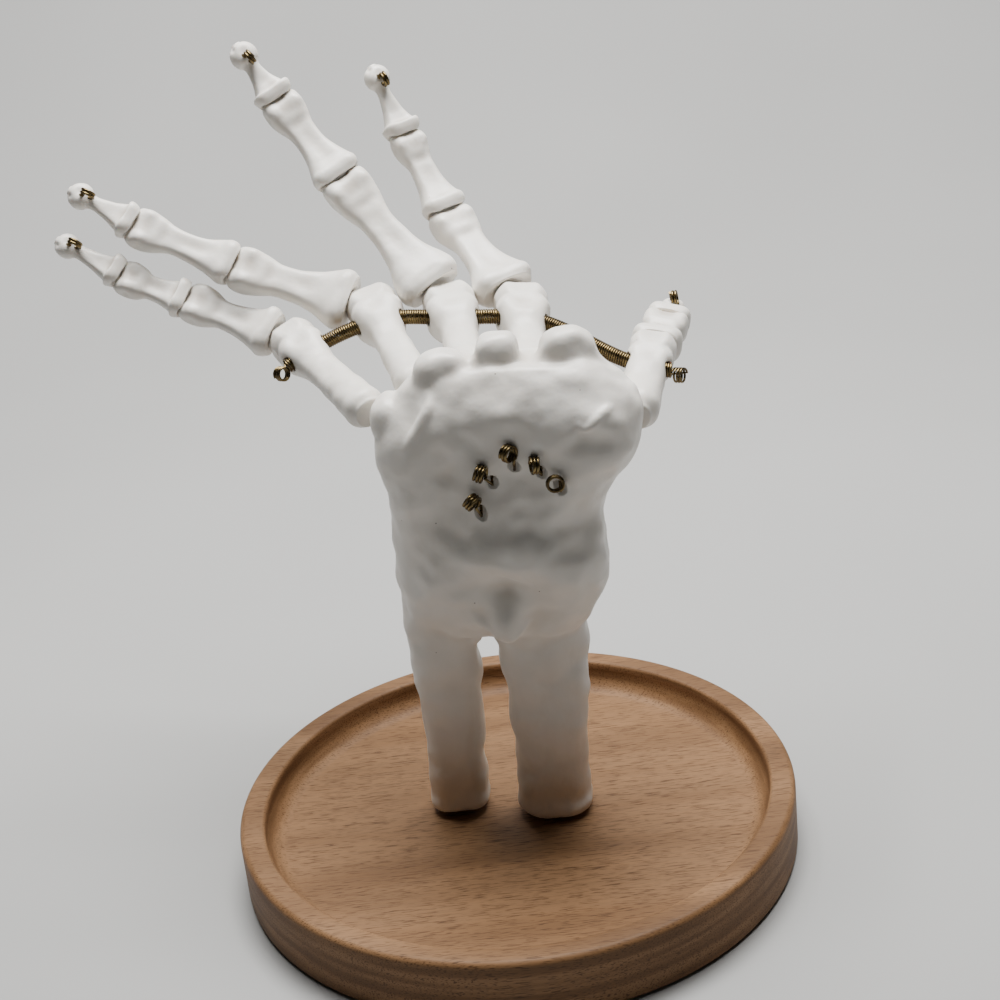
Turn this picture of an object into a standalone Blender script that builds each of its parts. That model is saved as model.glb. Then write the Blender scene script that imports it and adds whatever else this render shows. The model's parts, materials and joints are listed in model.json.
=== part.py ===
"""Skeleton hand that stands on a round wooden tray and holds rings and bracelets.

Every bone is its own moulding, strung on steel springs: one spring runs through each finger from
a loop in the palm to a loop in the fingertip, and one runs across the five metacarpal heads.
Units are metres. The origin is the centre of the tray's underside, +Z is up and the palm faces -Y.
"""
import math

import bmesh
import bpy
from mathutils import Matrix, Vector
from mathutils.bvhtree import BVHTree

MM = 0.001

# Wooden tray
TRAY_RADIUS = 60.0 * MM
TRAY_HEIGHT = 14.2 * MM
TRAY_RIM_WIDTH = 5.6 * MM
TRAY_RECESS_DEPTH = 6.2 * MM
TRAY_EDGE_ROUND = 1.4 * MM
TRAY_COVE_RADIUS = 4.5 * MM
TRAY_STEPS = 48

# Clearance between pieces that touch, and between a spring and its bore
SEAT_GAP = 0.3 * MM
BORE_GAP = 0.3 * MM

# Forearm bones: foot centre on the tray, where they enter the wrist, half width and half depth
ULNA_FOOT = (-11.9 * MM, 5.2 * MM)
ULNA_TOP = (-11.4 * MM, 3.0 * MM)
ULNA_HALF_WIDTH = 6.3 * MM
ULNA_HALF_DEPTH = 5.6 * MM
RADIUS_FOOT = (8.6 * MM, 0.6 * MM)
RADIUS_TOP = (9.4 * MM, 1.0 * MM)
RADIUS_HALF_WIDTH = 7.9 * MM
RADIUS_HALF_DEPTH = 6.8 * MM
FORK_HEIGHT = 53.0 * MM
SHAFT_IN_WRIST = 14.0 * MM

# Wrist: the block of carpal bones, turned a little so that its thumb side is nearer the viewer
WRIST_TURN = -12.0
WRIST_TOP = 113.5 * MM

# Wood screws that hold the two forearm bones from under the tray
SCREW_SHANK_RADIUS = 1.5 * MM
SCREW_HEAD_RADIUS = 3.2 * MM
SCREW_HEAD_HEIGHT = 2.0 * MM
SCREW_REACH = 13.0 * MM
SCREW_HEAD_SUNK = 0.6 * MM

# Springs: outer radius of the wound body, wire radius, and radius of the end loops
FINGER_SPRING_RADIUS = 1.1 * MM
FINGER_WIRE_RADIUS = 0.3 * MM
PALM_LOOP_RADIUS = 1.65 * MM
TIP_LOOP_RADIUS = 1.15 * MM
LOOP_PITCH = 1.1 * MM
LOOP_CURLS = 2
CROSS_COIL_RADIUS = 1.45 * MM
CROSS_WIRE_RADIUS = 0.25 * MM
CROSS_PITCH = 1.1 * MM
CROSS_HIDDEN_PITCH = 4.0 * MM
CROSS_LOOP_RADIUS = 1.3 * MM
POINTS_PER_CURL = 8

# Where the cross spring passes a metacarpal: below the knuckle's centre and towards the palm
CROSS_BELOW_KNUCKLE = 6.4 * MM
CROSS_TO_PALM = 1.0 * MM
FINGER_TO_BACK = 2.0 * MM

# How far round a knuckle the next bone's cup reaches on each side
CUP_HALF_ANGLE = 42.0
KNUCKLE_CUP_HALF_ANGLE = 34.0
HEAD_SQUARENESS = 0.8
KNUCKLE_SQUARENESS = 0.68
RING_POINTS = 10

# Metacarpals: centre of the foot, length to the knuckle's centre, lean to the little-finger side
# and tilt to the back (degrees), knuckle radius and half width, shaft half width, foot half width
# and half depth
METACARPALS = {
    "thumb": {"foot": (31.6, -3.0, 99.5), "length": 21.5, "lean": -16.6, "tilt": 76.0,
             "knuckle": 4.3, "width": 5.0, "shaft": 4.2, "foot_width": 5.0, "foot_depth": 4.8},
    "index": {"foot": (13.0, 0.5, 105.6), "length": 32.0, "lean": 1.3, "tilt": 78.0,
             "knuckle": 4.9, "width": 5.8, "shaft": 3.9, "foot_width": 5.4, "foot_depth": 4.8},
    "middle": {"foot": (1.2, 1.5, 106.2), "length": 33.6, "lean": 6.5, "tilt": 78.0,
              "knuckle": 4.9, "width": 5.8, "shaft": 3.9, "foot_width": 4.9, "foot_depth": 4.8},
    "ring": {"foot": (-9.6, 3.0, 105.7), "length": 36.6, "lean": 14.5, "tilt": 78.0,
            "knuckle": 4.9, "width": 5.7, "shaft": 3.8, "foot_width": 4.6, "foot_depth": 4.7},
    "little": {"foot": (-19.2, 4.5, 101.4), "length": 36.3, "lean": 28.0, "tilt": 78.0,
              "knuckle": 4.6, "width": 5.2, "shaft": 3.9, "foot_width": 4.9, "foot_depth": 4.8},
}

# Rounded foot of a metacarpal: how deep it sits, its end's rounding and how far up it stays thick
FOOT_SUNK = 3.2 * MM
FOOT_ROUND = 1.4 * MM
FOOT_SWELL = 2.5 * MM

# Phalanges from the knuckle out: name, length, lean, tilt, head radius, head half width,
# base half width and shaft half width; the last one of a finger ends in a tuft
PHALANGES = {
    "thumb": [("proximal", 19.2, -14.5, 95.0, 3.6, 4.6, 5.3, 3.2),
              ("distal", 12.7, -14.6, 94.0, 2.8, 2.8, 4.7, 2.4)],
    "index": [("proximal", 27.4, 26.5, 58.0, 3.7, 4.6, 6.8, 3.3),
              ("middle", 20.8, 22.2, 38.0, 3.0, 3.6, 4.8, 2.6),
              ("distal", 16.6, 19.3, 28.0, 2.9, 2.9, 4.0, 1.8)],
    "middle": [("proximal", 34.8, 32.7, 42.0, 3.8, 5.0, 7.0, 3.3),
               ("middle", 23.2, 32.1, 35.0, 3.2, 4.2, 5.5, 2.8),
               ("distal", 14.7, 30.9, 25.0, 3.1, 3.1, 4.4, 1.9)],
    "ring": [("proximal", 28.9, 65.0, 45.0, 3.7, 4.6, 6.6, 3.2),
             ("middle", 24.3, 61.4, 35.0, 3.2, 4.2, 4.8, 2.6),
             ("distal", 15.6, 55.8, 25.0, 2.9, 2.9, 3.9, 1.9)],
    "little": [("proximal", 23.4, 59.3, 50.0, 3.3, 4.1, 5.4, 2.9),
               ("middle", 15.9, 63.0, 35.0, 2.9, 3.5, 4.2, 2.4),
               ("distal", 15.5, 55.4, 25.0, 2.8, 2.8, 3.5, 1.8)],
}

# Holes of the finger springs in the hollow of the palm (x, z) in millimetres
PALM_HOLES = {
    "thumb": (17.0, 90.6),
    "index": (13.4, 94.0),
    "middle": (8.0, 94.0),
    "ring": (3.6, 90.0),
    "little": (1.2, 84.5),
}
PALM_LOOP_STANDS = 0.7 * MM
PALM_BORE_MOUTH = 6.0 * MM

# A fingertip's loop: how far its wire comes out beside the middle and, as a share of the tip's
# radius, below the tip's centre, and how deep the loop is sunk, as a share of its own radius
TIP_LOOP_ASIDE = 0.5 * MM
TIP_LOOP_DROP = 0.3
TIP_LOOP_SUNK = 0.8
POCKET_GAP = 0.4 * MM

HAND_ORDER = ("little", "ring", "middle", "index", "thumb")
CROSS_BORE_REACH = 6.0 * MM

PART_COLLECTION = "skeleton_hand_holder"
CUTTER_COLLECTION = "cutters"


def clear_scene():
    for obj in list(bpy.data.objects):
        bpy.data.objects.remove(obj, do_unlink=True)
    for name in (PART_COLLECTION, CUTTER_COLLECTION):
        collection = bpy.data.collections.new(name)
        bpy.context.scene.collection.children.link(collection)


def material(name, colour, roughness, metallic=0.0):
    """A Principled BSDF material of its own for one sub-part."""
    mat = bpy.data.materials.new(name)
    mat.use_nodes = True
    shader = mat.node_tree.nodes["Principled BSDF"]
    shader.inputs["Base Color"].default_value = (*colour, 1.0)
    shader.inputs["Roughness"].default_value = roughness
    shader.inputs["Metallic"].default_value = metallic
    return mat


def bone_material(name):
    return material(name + "_plastic", (0.86, 0.83, 0.78), 0.38)


def spring_material(name):
    return material(name + "_bronze", (0.33, 0.25, 0.12), 0.32, 1.0)


def add_object(name, mesh, collection, frame=None):
    obj = bpy.data.objects.new(name, mesh)
    bpy.data.collections[collection].objects.link(obj)
    if frame is not None:
        obj.matrix_world = frame
    if collection == CUTTER_COLLECTION:
        obj.hide_render = True
        obj.display_type = "WIRE"
    return obj


def cut(obj, cutter, operation="DIFFERENCE", bent=False):
    """Boolean modifier; a bent cutter may cross itself on the inside of its bend."""
    boolean = obj.modifiers.new(cutter.name, "BOOLEAN")
    boolean.operation = operation
    boolean.object = cutter
    boolean.use_self = bent


def smooth(mesh, angle=40.0):
    mesh.shade_smooth()
    mesh.set_sharp_from_angle(angle=math.radians(angle))


def loft(rings):
    """Mesh through rings of equally many points, closed with a fan at each end."""
    bm = bmesh.new()
    loops = [[bm.verts.new(point) for point in ring] for ring in rings]
    count = len(loops[0])
    for lower, upper in zip(loops, loops[1:]):
        for i in range(count):
            j = (i + 1) % count
            bm.faces.new((lower[i], lower[j], upper[j], upper[i]))
    for ring, flip in ((loops[0], True), (loops[-1], False)):
        centre = sum((vert.co for vert in ring), Vector()) / count
        tip = bm.verts.new(centre)
        for i in range(count):
            j = (i + 1) % count
            corners = (ring[j], ring[i], tip) if flip else (ring[i], ring[j], tip)
            bm.faces.new(corners)
    bmesh.ops.recalc_face_normals(bm, faces=bm.faces)
    mesh = bpy.data.meshes.new("loft")
    bm.to_mesh(mesh)
    bm.free()
    smooth(mesh)
    return mesh


def power(value, exponent):
    return math.copysign(abs(value) ** exponent, value)


def section(z, half_width, half_depth, shift_y=0.0, squareness=HEAD_SQUARENESS, count=RING_POINTS):
    """One rounded ring across a bone: squareness 1 is an ellipse, less is boxier."""
    points = []
    for i in range(count):
        angle = 2.0 * math.pi * (i + 0.5) / count
        x = half_width * power(math.cos(angle), squareness)
        y = half_depth * power(math.sin(angle), squareness)
        points.append(Vector((x, y + shift_y, z)))
    return points


def catmull(points, steps):
    """Smooth curve through points, with the given number of steps on each span."""
    padded = [2 * points[0] - points[1], *points, 2 * points[-1] - points[-2]]
    curve = []
    for a, b, c, d in zip(padded, padded[1:], padded[2:], padded[3:]):
        for i in range(steps):
            t = i / steps
            curve.append(0.5 * (2 * b + (c - a) * t + (2 * a - 5 * b + 4 * c - d) * t * t
                                + (3 * b - a - 3 * c + d) * t ** 3))
    curve.append(points[-1].copy())
    return curve


def tube(name, points, radii, collection, sides=1):
    """Wire along a poly line, with a radius at each point, as a closed mesh."""
    curve = bpy.data.curves.new(name, "CURVE")
    curve.dimensions = "3D"
    curve.bevel_depth = 1.0
    curve.bevel_resolution = sides
    curve.use_fill_caps = True
    spline = curve.splines.new("POLY")
    spline.points.add(len(points) - 1)
    for slot, point, radius in zip(spline.points, points, radii):
        slot.co = (*point, 1.0)
        slot.radius = radius
    guide = add_object(name + "_guide", curve, CUTTER_COLLECTION)
    evaluated = guide.evaluated_get(bpy.context.evaluated_depsgraph_get())
    mesh = bpy.data.meshes.new_from_object(evaluated)
    bpy.data.objects.remove(guide, do_unlink=True)
    bm = bmesh.new()
    bm.from_mesh(mesh)
    bmesh.ops.remove_doubles(bm, verts=bm.verts, dist=0.00001)
    bmesh.ops.recalc_face_normals(bm, faces=bm.faces)
    bm.to_mesh(mesh)
    bm.free()
    smooth(mesh, 60.0)
    return add_object(name, mesh, collection)


def least_gap(points, wire_radius):
    """Smallest free distance between a wire and itself, past a stretch of a few diameters."""
    smallest = 1.0
    for i, point in enumerate(points):
        travelled = 0.0
        for last, other in zip(points[i:], points[i + 1:]):
            travelled += (other - last).length
            if travelled > 8 * wire_radius:
                smallest = min(smallest, (point - other).length - 2 * wire_radius)
    return smallest


def direction(lean, tilt):
    lean, tilt = math.radians(lean), math.radians(tilt)
    return Vector((-math.sin(lean), math.cos(lean) * math.sin(tilt),
                   math.cos(lean) * math.cos(tilt)))


def bone_frame(origin, along, across):
    """Frame with Z along the bone, X across it on its joint's axis and +Y to the back."""
    z = along.normalized()
    x = (across - across.dot(z) * z).normalized()
    y = z.cross(x)
    rotation = Matrix((x, y, z)).transposed().to_4x4()
    return Matrix.Translation(origin) @ rotation


def layout():
    """Places of the knuckles and joints, worked out from the lengths and angles."""
    fingers = {}
    for name, data in METACARPALS.items():
        foot = Vector(data["foot"]) * MM
        along = direction(data["lean"], data["tilt"])
        knuckle = foot + along * data["length"] * MM
        fingers[name] = {"foot": foot, "along": along, "knuckle": knuckle}
    for i, name in enumerate(HAND_ORDER):
        before = fingers[HAND_ORDER[max(i - 1, 0)]]["knuckle"]
        after = fingers[HAND_ORDER[min(i + 1, 4)]]["knuckle"]
        finger = fingers[name]
        finger["frame"] = bone_frame(finger["foot"], finger["along"], after - before)
        data = METACARPALS[name]
        axis = finger["frame"].to_3x3().col[0].copy()
        joint = finger["frame"] @ Vector((0.0, 0.0, data["length"] * MM))
        finger["joints"] = []
        for number, phalanx in enumerate(PHALANGES[name]):
            along = direction(phalanx[2], phalanx[3])
            frame = bone_frame(joint, along, axis)
            if number == 0:
                axis = frame.to_3x3().col[0].copy()
            finger["joints"].append({"centre": joint, "axis": axis, "frame": frame})
            joint = joint + along * phalanx[1] * MM
            axis = frame.to_3x3().col[0].copy()
    return fingers


def make_tray():
    top, floor = TRAY_HEIGHT, TRAY_HEIGHT - TRAY_RECESS_DEPTH
    inner = TRAY_RADIUS - TRAY_RIM_WIDTH
    profile = [(0.0, floor)]
    for i in range(4):
        angle = math.radians(90.0 * i / 3)
        x = inner - TRAY_COVE_RADIUS + TRAY_COVE_RADIUS * math.sin(angle)
        z = floor + TRAY_COVE_RADIUS * (1.0 - math.cos(angle))
        profile.append((x, z))
    profile.append((inner + 0.4 * MM, top - 0.5 * MM))
    profile.append((inner + TRAY_EDGE_ROUND, top))
    for i in range(3):
        angle = math.radians(45.0 * i)
        x = TRAY_RADIUS - TRAY_EDGE_ROUND + TRAY_EDGE_ROUND * math.sin(angle)
        z = top - TRAY_EDGE_ROUND + TRAY_EDGE_ROUND * math.cos(angle)
        profile.append((x, z))
    profile.append((TRAY_RADIUS, TRAY_EDGE_ROUND))
    profile.append((TRAY_RADIUS - TRAY_EDGE_ROUND, 0.0))
    profile.append((0.0, 0.0))
    tray = turned("tray", profile, TRAY_STEPS, PART_COLLECTION)
    tray.data.materials.append(material("tray_beech", (0.52, 0.33, 0.19), 0.55))
    for name, foot in (("ulna", ULNA_FOOT), ("radius", RADIUS_FOOT)):
        cut(tray, screw_shape(name + "_screw_hole", foot, BORE_GAP, CUTTER_COLLECTION))
    return tray


def turned(name, profile, steps, collection, place=(0.0, 0.0)):
    """Solid turned from a profile of (radius, height) points that runs top to bottom."""
    mesh = bpy.data.meshes.new(name)
    verts = [(x, 0.0, z) for x, z in profile]
    mesh.from_pydata(verts, [(i, i + 1) for i in range(len(verts) - 1)], [])
    obj = add_object(name, mesh, collection, Matrix.Translation((*place, 0.0)))
    screw = obj.modifiers.new("turn", "SCREW")
    screw.steps = steps
    screw.render_steps = steps
    screw.use_merge_vertices = True
    screw.merge_threshold = 0.00001
    screw.use_smooth_shade = True
    return obj


def screw_shape(name, foot, grow, collection):
    """Countersunk screw standing head down under the tray, or its hole when grown."""
    base = SCREW_HEAD_SUNK if grow == 0.0 else -1.0 * MM
    tip = SCREW_HEAD_SUNK + SCREW_REACH + grow
    shank = SCREW_SHANK_RADIUS + grow
    head = SCREW_HEAD_RADIUS + grow
    neck = SCREW_HEAD_SUNK + SCREW_HEAD_HEIGHT + 0.5 * grow
    profile = [(0.0, tip), (0.4 * shank, tip - 0.2 * MM), (shank, tip - 2.0 * MM),
               (shank, neck), (head, SCREW_HEAD_SUNK), (head, base), (0.0, base)]
    if grow == 0.0:
        profile.pop(5)
    return turned(name, profile, 16, collection, foot)


def shaft(name, foot, top, half_width, half_depth):
    """One forearm bone from the tray up into the wrist, waisted above its foot."""
    start = TRAY_HEIGHT - TRAY_RECESS_DEPTH + SEAT_GAP
    end = FORK_HEIGHT + SHAFT_IN_WRIST
    rings = []
    for share, wide, deep in ((0.0, 0.86, 0.86), (0.03, 1.0, 1.0), (0.18, 0.98, 0.94),
                              (0.45, 1.03, 0.96), (0.75, 1.24, 1.08), (1.0, 1.24, 1.08)):
        centre = Vector(foot).lerp(Vector(top), share)
        ring = section(start + (end - start) * share, half_width * wide, half_depth * deep, 0.0, 0.85)
        rings.append([point + Vector((*centre, 0.0)) for point in ring])
    return add_object(name, loft(rings), CUTTER_COLLECTION)


# Outline of the wrist block at a share of the way from fork to top: left, right, front, back
# edges and depth of the palm's hollow, in millimetres in the turned frame
WRIST_RINGS = (
    (0.00, -16.8, 16.6, -4.5, 9.5, 0.0),
    (0.06, -18.4, 19.4, -6.5, 10.8, 0.0),
    (0.18, -19.2, 23.2, -9.8, 11.6, -0.6),
    (0.34, -19.4, 24.8, -9.8, 11.8, -0.4),
    (0.48, -18.8, 24.4, -9.4, 11.6, 1.2),
    (0.60, -19.8, 28.0, -11.4, 11.4, 2.8),
    (0.74, -19.8, 33.2, -13.2, 11.0, 4.2),
    (0.84, -17.6, 33.6, -13.4, 10.6, 3.6),
    (0.92, -14.0, 30.4, -12.4, 9.8, 1.6),
    (0.975, -10.6, 26.6, -10.6, 8.4, 0.4),
    (1.00, -8.0, 23.6, -8.4, 6.8, 0.0),
)
WRIST_RING_POINTS = 24

# Knobs of the carpal bones: three in front of the metacarpals, then the arched ridge and the
# pointed knob low on the palm side; centre and half sizes
CARPAL_KNOBS = (
    ((-4.6, -3.6, 110.0), (6.6, 4.6, 6.2)),
    ((6.2, -4.8, 111.2), (5.6, 4.6, 7.2)),
    ((19.8, -5.6, 110.0), (7.0, 5.0, 8.4)),
    ((4.0, -7.2, 75.5), (10.5, 5.6, 5.0)),
    ((3.2, -6.4, 61.5), (5.0, 5.6, 4.6)),
)
KNOB_SQUARENESS = 0.8


def wrist_mesh():
    """Block of fused carpal bones with a hollow palm face, as a loft of its outlines."""
    turn = Matrix.Rotation(math.radians(WRIST_TURN), 4, "Z")
    rings = []
    for share, left, right, front, back, hollow in WRIST_RINGS:
        centre_x, half = 0.5 * (left + right), 0.5 * (right - left)
        ring = []
        for i in range(WRIST_RING_POINTS):
            angle = 2.0 * math.pi * (i + 0.5) / WRIST_RING_POINTS
            across = power(math.cos(angle), 0.75)
            depth = power(math.sin(angle), 0.75)
            y = depth * (back if depth > 0.0 else -front)
            if depth < 0.0:
                y += hollow * (1.0 - (across / 0.72) ** 2) * abs(depth) if abs(across) < 0.72 else 0.0
            z = FORK_HEIGHT + share * (WRIST_TOP - FORK_HEIGHT)
            ring.append(turn @ Vector(((centre_x + half * across) * MM, y * MM, z)))
        rings.append(ring)
    return loft(rings)


def knob(name, centre, half_sizes):
    """Rounded block of a carpal bone."""
    bm = bmesh.new()
    bmesh.ops.create_uvsphere(bm, u_segments=14, v_segments=9, radius=1.0)
    for vert in bm.verts:
        vert.co = [power(share, KNOB_SQUARENESS) for share in vert.co]
    bmesh.ops.scale(bm, vec=Vector(half_sizes) * MM, verts=bm.verts)
    mesh = bpy.data.meshes.new(name)
    bm.to_mesh(mesh)
    bm.free()
    return add_object(name, mesh, CUTTER_COLLECTION, Matrix.Translation(Vector(centre) * MM))


def metacarpal_rings(name, grow):
    """Rings of one metacarpal from its foot in the wrist to its rounded knuckle."""
    data = METACARPALS[name]
    length, knuckle, width = data["length"] * MM, data["knuckle"] * MM, data["width"] * MM
    foot_width, foot_depth = data["foot_width"] * MM, data["foot_depth"] * MM
    shaft_width = data["shaft"] * MM
    shaft_depth = 0.96 * shaft_width
    thin, full = length - 2.3 * knuckle, length - 0.75 * knuckle
    rings = [
        section(-FOOT_SUNK - grow, 0.72 * foot_width + grow, 0.72 * foot_depth + grow),
        section(FOOT_ROUND - FOOT_SUNK, foot_width + grow, foot_depth + grow),
        section(FOOT_SWELL, foot_width + grow, foot_depth + grow, -SEAT_GAP),
        section(0.28 * length, 0.5 * (foot_width + shaft_width) + grow,
                0.5 * (foot_depth + shaft_depth) + grow),
        section(0.48 * length, shaft_width + grow, shaft_depth + grow),
        section(thin, 1.02 * shaft_width + grow, shaft_depth + grow),
        section(0.5 * (thin + full), 0.80 * width + grow, 0.92 * knuckle + grow),
        section(full, 0.98 * width + grow, knuckle + grow, 0.0, KNUCKLE_SQUARENESS),
    ]
    for angle in (0.0, 32.0, 56.0, 74.0):
        sine, cosine = math.sin(math.radians(angle)), math.cos(math.radians(angle))
        rings.append(section(length + knuckle * sine, width * cosine ** 0.6 + grow,
                             knuckle * cosine + grow, 0.0, KNUCKLE_SQUARENESS))
    return rings


def ball_radius(name):
    """Radius of the ball that holds a knuckle's squared head."""
    data = METACARPALS[name]
    corner = math.cos(math.radians(45.0)) ** KNUCKLE_SQUARENESS
    return max(data["width"], math.hypot(data["width"], data["knuckle"]) * corner) * MM


def ball_cutter(name, joint, radius):
    """Ball round a knuckle that hollows the first phalanx to fit it."""
    bm = bmesh.new()
    bmesh.ops.create_uvsphere(bm, u_segments=16, v_segments=10, radius=radius)
    mesh = bpy.data.meshes.new(name)
    bm.to_mesh(mesh)
    bm.free()
    return add_object(name, mesh, CUTTER_COLLECTION, joint["frame"])


def cup_cutter(name, joint, radius, reach):
    """Cylinder on a joint's axis that hollows the next bone to fit the head before it."""
    bm = bmesh.new()
    bmesh.ops.create_cone(bm, cap_ends=True, segments=22, radius1=radius, radius2=radius, depth=reach)
    mesh = bpy.data.meshes.new(name)
    bm.to_mesh(mesh)
    bm.free()
    frame = Matrix.Translation(joint["centre"]) @ joint["axis"].to_track_quat("Z", "Y").to_matrix().to_4x4()
    return add_object(name, mesh, CUTTER_COLLECTION, frame)


def phalanx_rings(length, head, head_width, base_width, shaft_width, cup, first, last):
    """Rings of one phalanx: flared base with its rim round the last head, waist, and head."""
    half_angle = math.radians(KNUCKLE_CUP_HALF_ANGLE if first else CUP_HALF_ANGLE)
    base_depth = cup * math.sin(half_angle) + 0.9 * MM
    rim = cup * math.cos(half_angle) - 0.3 * MM
    shaft_depth = shaft_width * 0.95
    span = length - cup
    rings = [
        section(rim, 0.93 * base_width, base_depth - 0.3 * MM),
        section(rim + 1.0 * MM, base_width, base_depth),
        section(cup + 1.0 * MM, 0.94 * base_width, 0.98 * base_depth),
        section(cup + 0.28 * span, 0.5 * (base_width + shaft_width), 0.5 * (base_depth + shaft_depth)),
        section(cup + 0.52 * span, shaft_width, shaft_depth),
    ]
    if not last:
        rings.append(section(length - 1.15 * head, 0.72 * head_width, 0.80 * head))
        rings.append(section(length - 0.40 * head, head_width, 0.915 * head))
    for angle, wide in ((-35.0, 0.95), (0.0, 1.0), (30.0, 0.95), (55.0, 0.78), (72.0, 0.5)):
        if angle < 0.0 and not last:
            continue
        sine, cosine = math.sin(math.radians(angle)), math.cos(math.radians(angle))
        width = head * cosine if last else head_width * wide
        rings.append(section(length + head * sine, width, head * cosine, 0.0, 1.0 if last else 0.8))
    return rings


def loop_points(exit_point, outward, across, side, radius, clearance):
    """Wire that leaves a hole straight and curls round an axis across it, to one side of the hole."""
    rise = radius + clearance
    start = exit_point + outward * rise
    centre = start + side * radius
    points = [exit_point + outward * 0.3 * rise]
    for i in range(LOOP_CURLS * POINTS_PER_CURL + 1):
        angle = 2.0 * math.pi * i / POINTS_PER_CURL
        offset = outward * math.sin(angle) - side * math.cos(angle)
        points.append(centre + offset * radius + across * LOOP_PITCH * i / POINTS_PER_CURL)
    tangent = (points[-1] - points[-2]).normalized()
    points.append(points[-1] + tangent * 2.0 * FINGER_WIRE_RADIUS)
    return points


def spring_piece(name, body, wire, parent):
    """Finger spring: its wound body as a plain tube in the bone, its wire loop outside.
    Returns the cutter of its bore."""
    points, radii = [], []
    for point in reversed(wire):
        points.append(point)
        radii.append(FINGER_WIRE_RADIUS)
    for point in body:
        points.append(point)
        radii.append(FINGER_SPRING_RADIUS)
    spring = tube(name, points, radii, PART_COLLECTION)
    spring.data.materials.append(spring_material(name))
    if parent is not None:
        world = spring.matrix_world.copy()
        spring.parent = parent
        spring.matrix_parent_inverse = parent.matrix_world.inverted()
        spring.matrix_world = world
    if wire:
        print(name, "least gap to itself, mm:",
              round(least_gap(wire, FINGER_WIRE_RADIUS) / MM, 2))
    return spring


def bore(name, points, radii):
    return tube(name, points, [radius + BORE_GAP for radius in radii], CUTTER_COLLECTION)


def make_metacarpals(fingers):
    bones = {}
    for name in HAND_ORDER:
        mesh = loft(metacarpal_rings(name, 0.0))
        bone = add_object(name + "_metacarpal", mesh, PART_COLLECTION, fingers[name]["frame"])
        mesh.materials.append(bone_material(bone.name))
        bones[name] = bone
    return bones


def make_wrist(fingers):
    wrist = add_object("wrist_and_forearm", wrist_mesh(), PART_COLLECTION)
    wrist.data.materials.append(bone_material("wrist_and_forearm"))
    shapes = (("ulna", ULNA_FOOT, ULNA_TOP, ULNA_HALF_WIDTH, ULNA_HALF_DEPTH),
              ("radius", RADIUS_FOOT, RADIUS_TOP, RADIUS_HALF_WIDTH, RADIUS_HALF_DEPTH))
    for name, foot, top, half_width, half_depth in shapes:
        cut(wrist, shaft(name + "_shaft", foot, top, half_width, half_depth), "UNION")
        cut(wrist, screw_shape(name + "_pilot_hole", foot, BORE_GAP, CUTTER_COLLECTION))
    for i, (centre, half_sizes) in enumerate(CARPAL_KNOBS):
        cut(wrist, knob(f"carpal_knob_{i}", centre, half_sizes), "UNION")
    for name, finger in fingers.items():
        mesh = loft(metacarpal_rings(name, SEAT_GAP))
        cut(wrist, add_object(name + "_seat", mesh, CUTTER_COLLECTION, finger["frame"]))
    return wrist


def make_hand_springs(fingers, wrist, bones):
    """Part of each finger spring that the wrist and the metacarpal hold, with its palm loop."""
    palm = BVHTree.FromPolygons([vert.co for vert in wrist.data.vertices],
                                [face.vertices for face in wrist.data.polygons])
    for name, finger in fingers.items():
        frame = finger["frame"]
        x, z = PALM_HOLES[name]
        hole = palm.ray_cast(Vector((x * MM, -0.1, z * MM)), Vector((0.0, 1.0, 0.0)))[0]
        hole.y -= PALM_LOOP_STANDS
        length = METACARPALS[name]["length"] * MM
        knuckle = METACARPALS[name]["knuckle"] * MM
        inside = [frame @ Vector((0.0, FINGER_TO_BACK, length * share)) for share in (0.4, 0.75)]
        end = frame @ Vector((0.0, FINGER_TO_BACK, length + 0.5 * knuckle))
        entry = frame @ Vector((0.0, 0.4 * FINGER_TO_BACK, 0.0))
        inward = (entry - hole).normalized()
        path = catmull([hole + inward * 2.5 * MM, hole.lerp(entry, 0.55), entry, *inside, end], 4)
        outward = Vector((0.0, -0.95, 0.3)).normalized()
        across = Vector((-1.0, 0.0, 0.0))
        wire = loop_points(hole, outward, across, across.cross(outward), PALM_LOOP_RADIUS,
                           FINGER_WIRE_RADIUS + 2 * SEAT_GAP)
        spring_piece(name + "_spring_in_palm", path, wire, None)
        mouth = hole - inward * PALM_BORE_MOUTH
        beyond = frame @ Vector((0.0, FINGER_TO_BACK, length + 2.0 * knuckle))
        cutter = bore(name + "_palm_bore", [mouth, hole, *path, beyond],
                      [FINGER_SPRING_RADIUS] * (len(path) + 3))
        cut(wrist, cutter, bent=True)
        cut(bones[name], cutter, bent=True)


def make_phalanges(fingers):
    for name, finger in fingers.items():
        before = ball_radius(name)
        reach = 4.0 * METACARPALS[name]["width"] * MM
        count = len(PHALANGES[name])
        for i, (phalanx, joint) in enumerate(zip(PHALANGES[name], finger["joints"])):
            kind, length, _, _, head, head_width, base_width, shaft_width = phalanx
            length, head, head_width = length * MM, head * MM, head_width * MM
            base_width, shaft_width = base_width * MM, shaft_width * MM
            last = i == count - 1
            cup = before + SEAT_GAP
            title = "_".join((name, kind, "phalanx"))
            mesh = loft(phalanx_rings(length, head, head_width, base_width, shaft_width, cup,
                                      i == 0, last))
            bone = add_object(title, mesh, PART_COLLECTION, joint["frame"])
            mesh.materials.append(bone_material(title))
            bpy.context.view_layer.update()
            if i == 0:
                cut(bone, ball_cutter(title + "_cup", joint, cup))
            else:
                cut(bone, cup_cutter(title + "_cup", joint, cup, reach))
            make_phalanx_spring(title, bone, joint["frame"], length, head, cup, last)
            before = head


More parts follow.
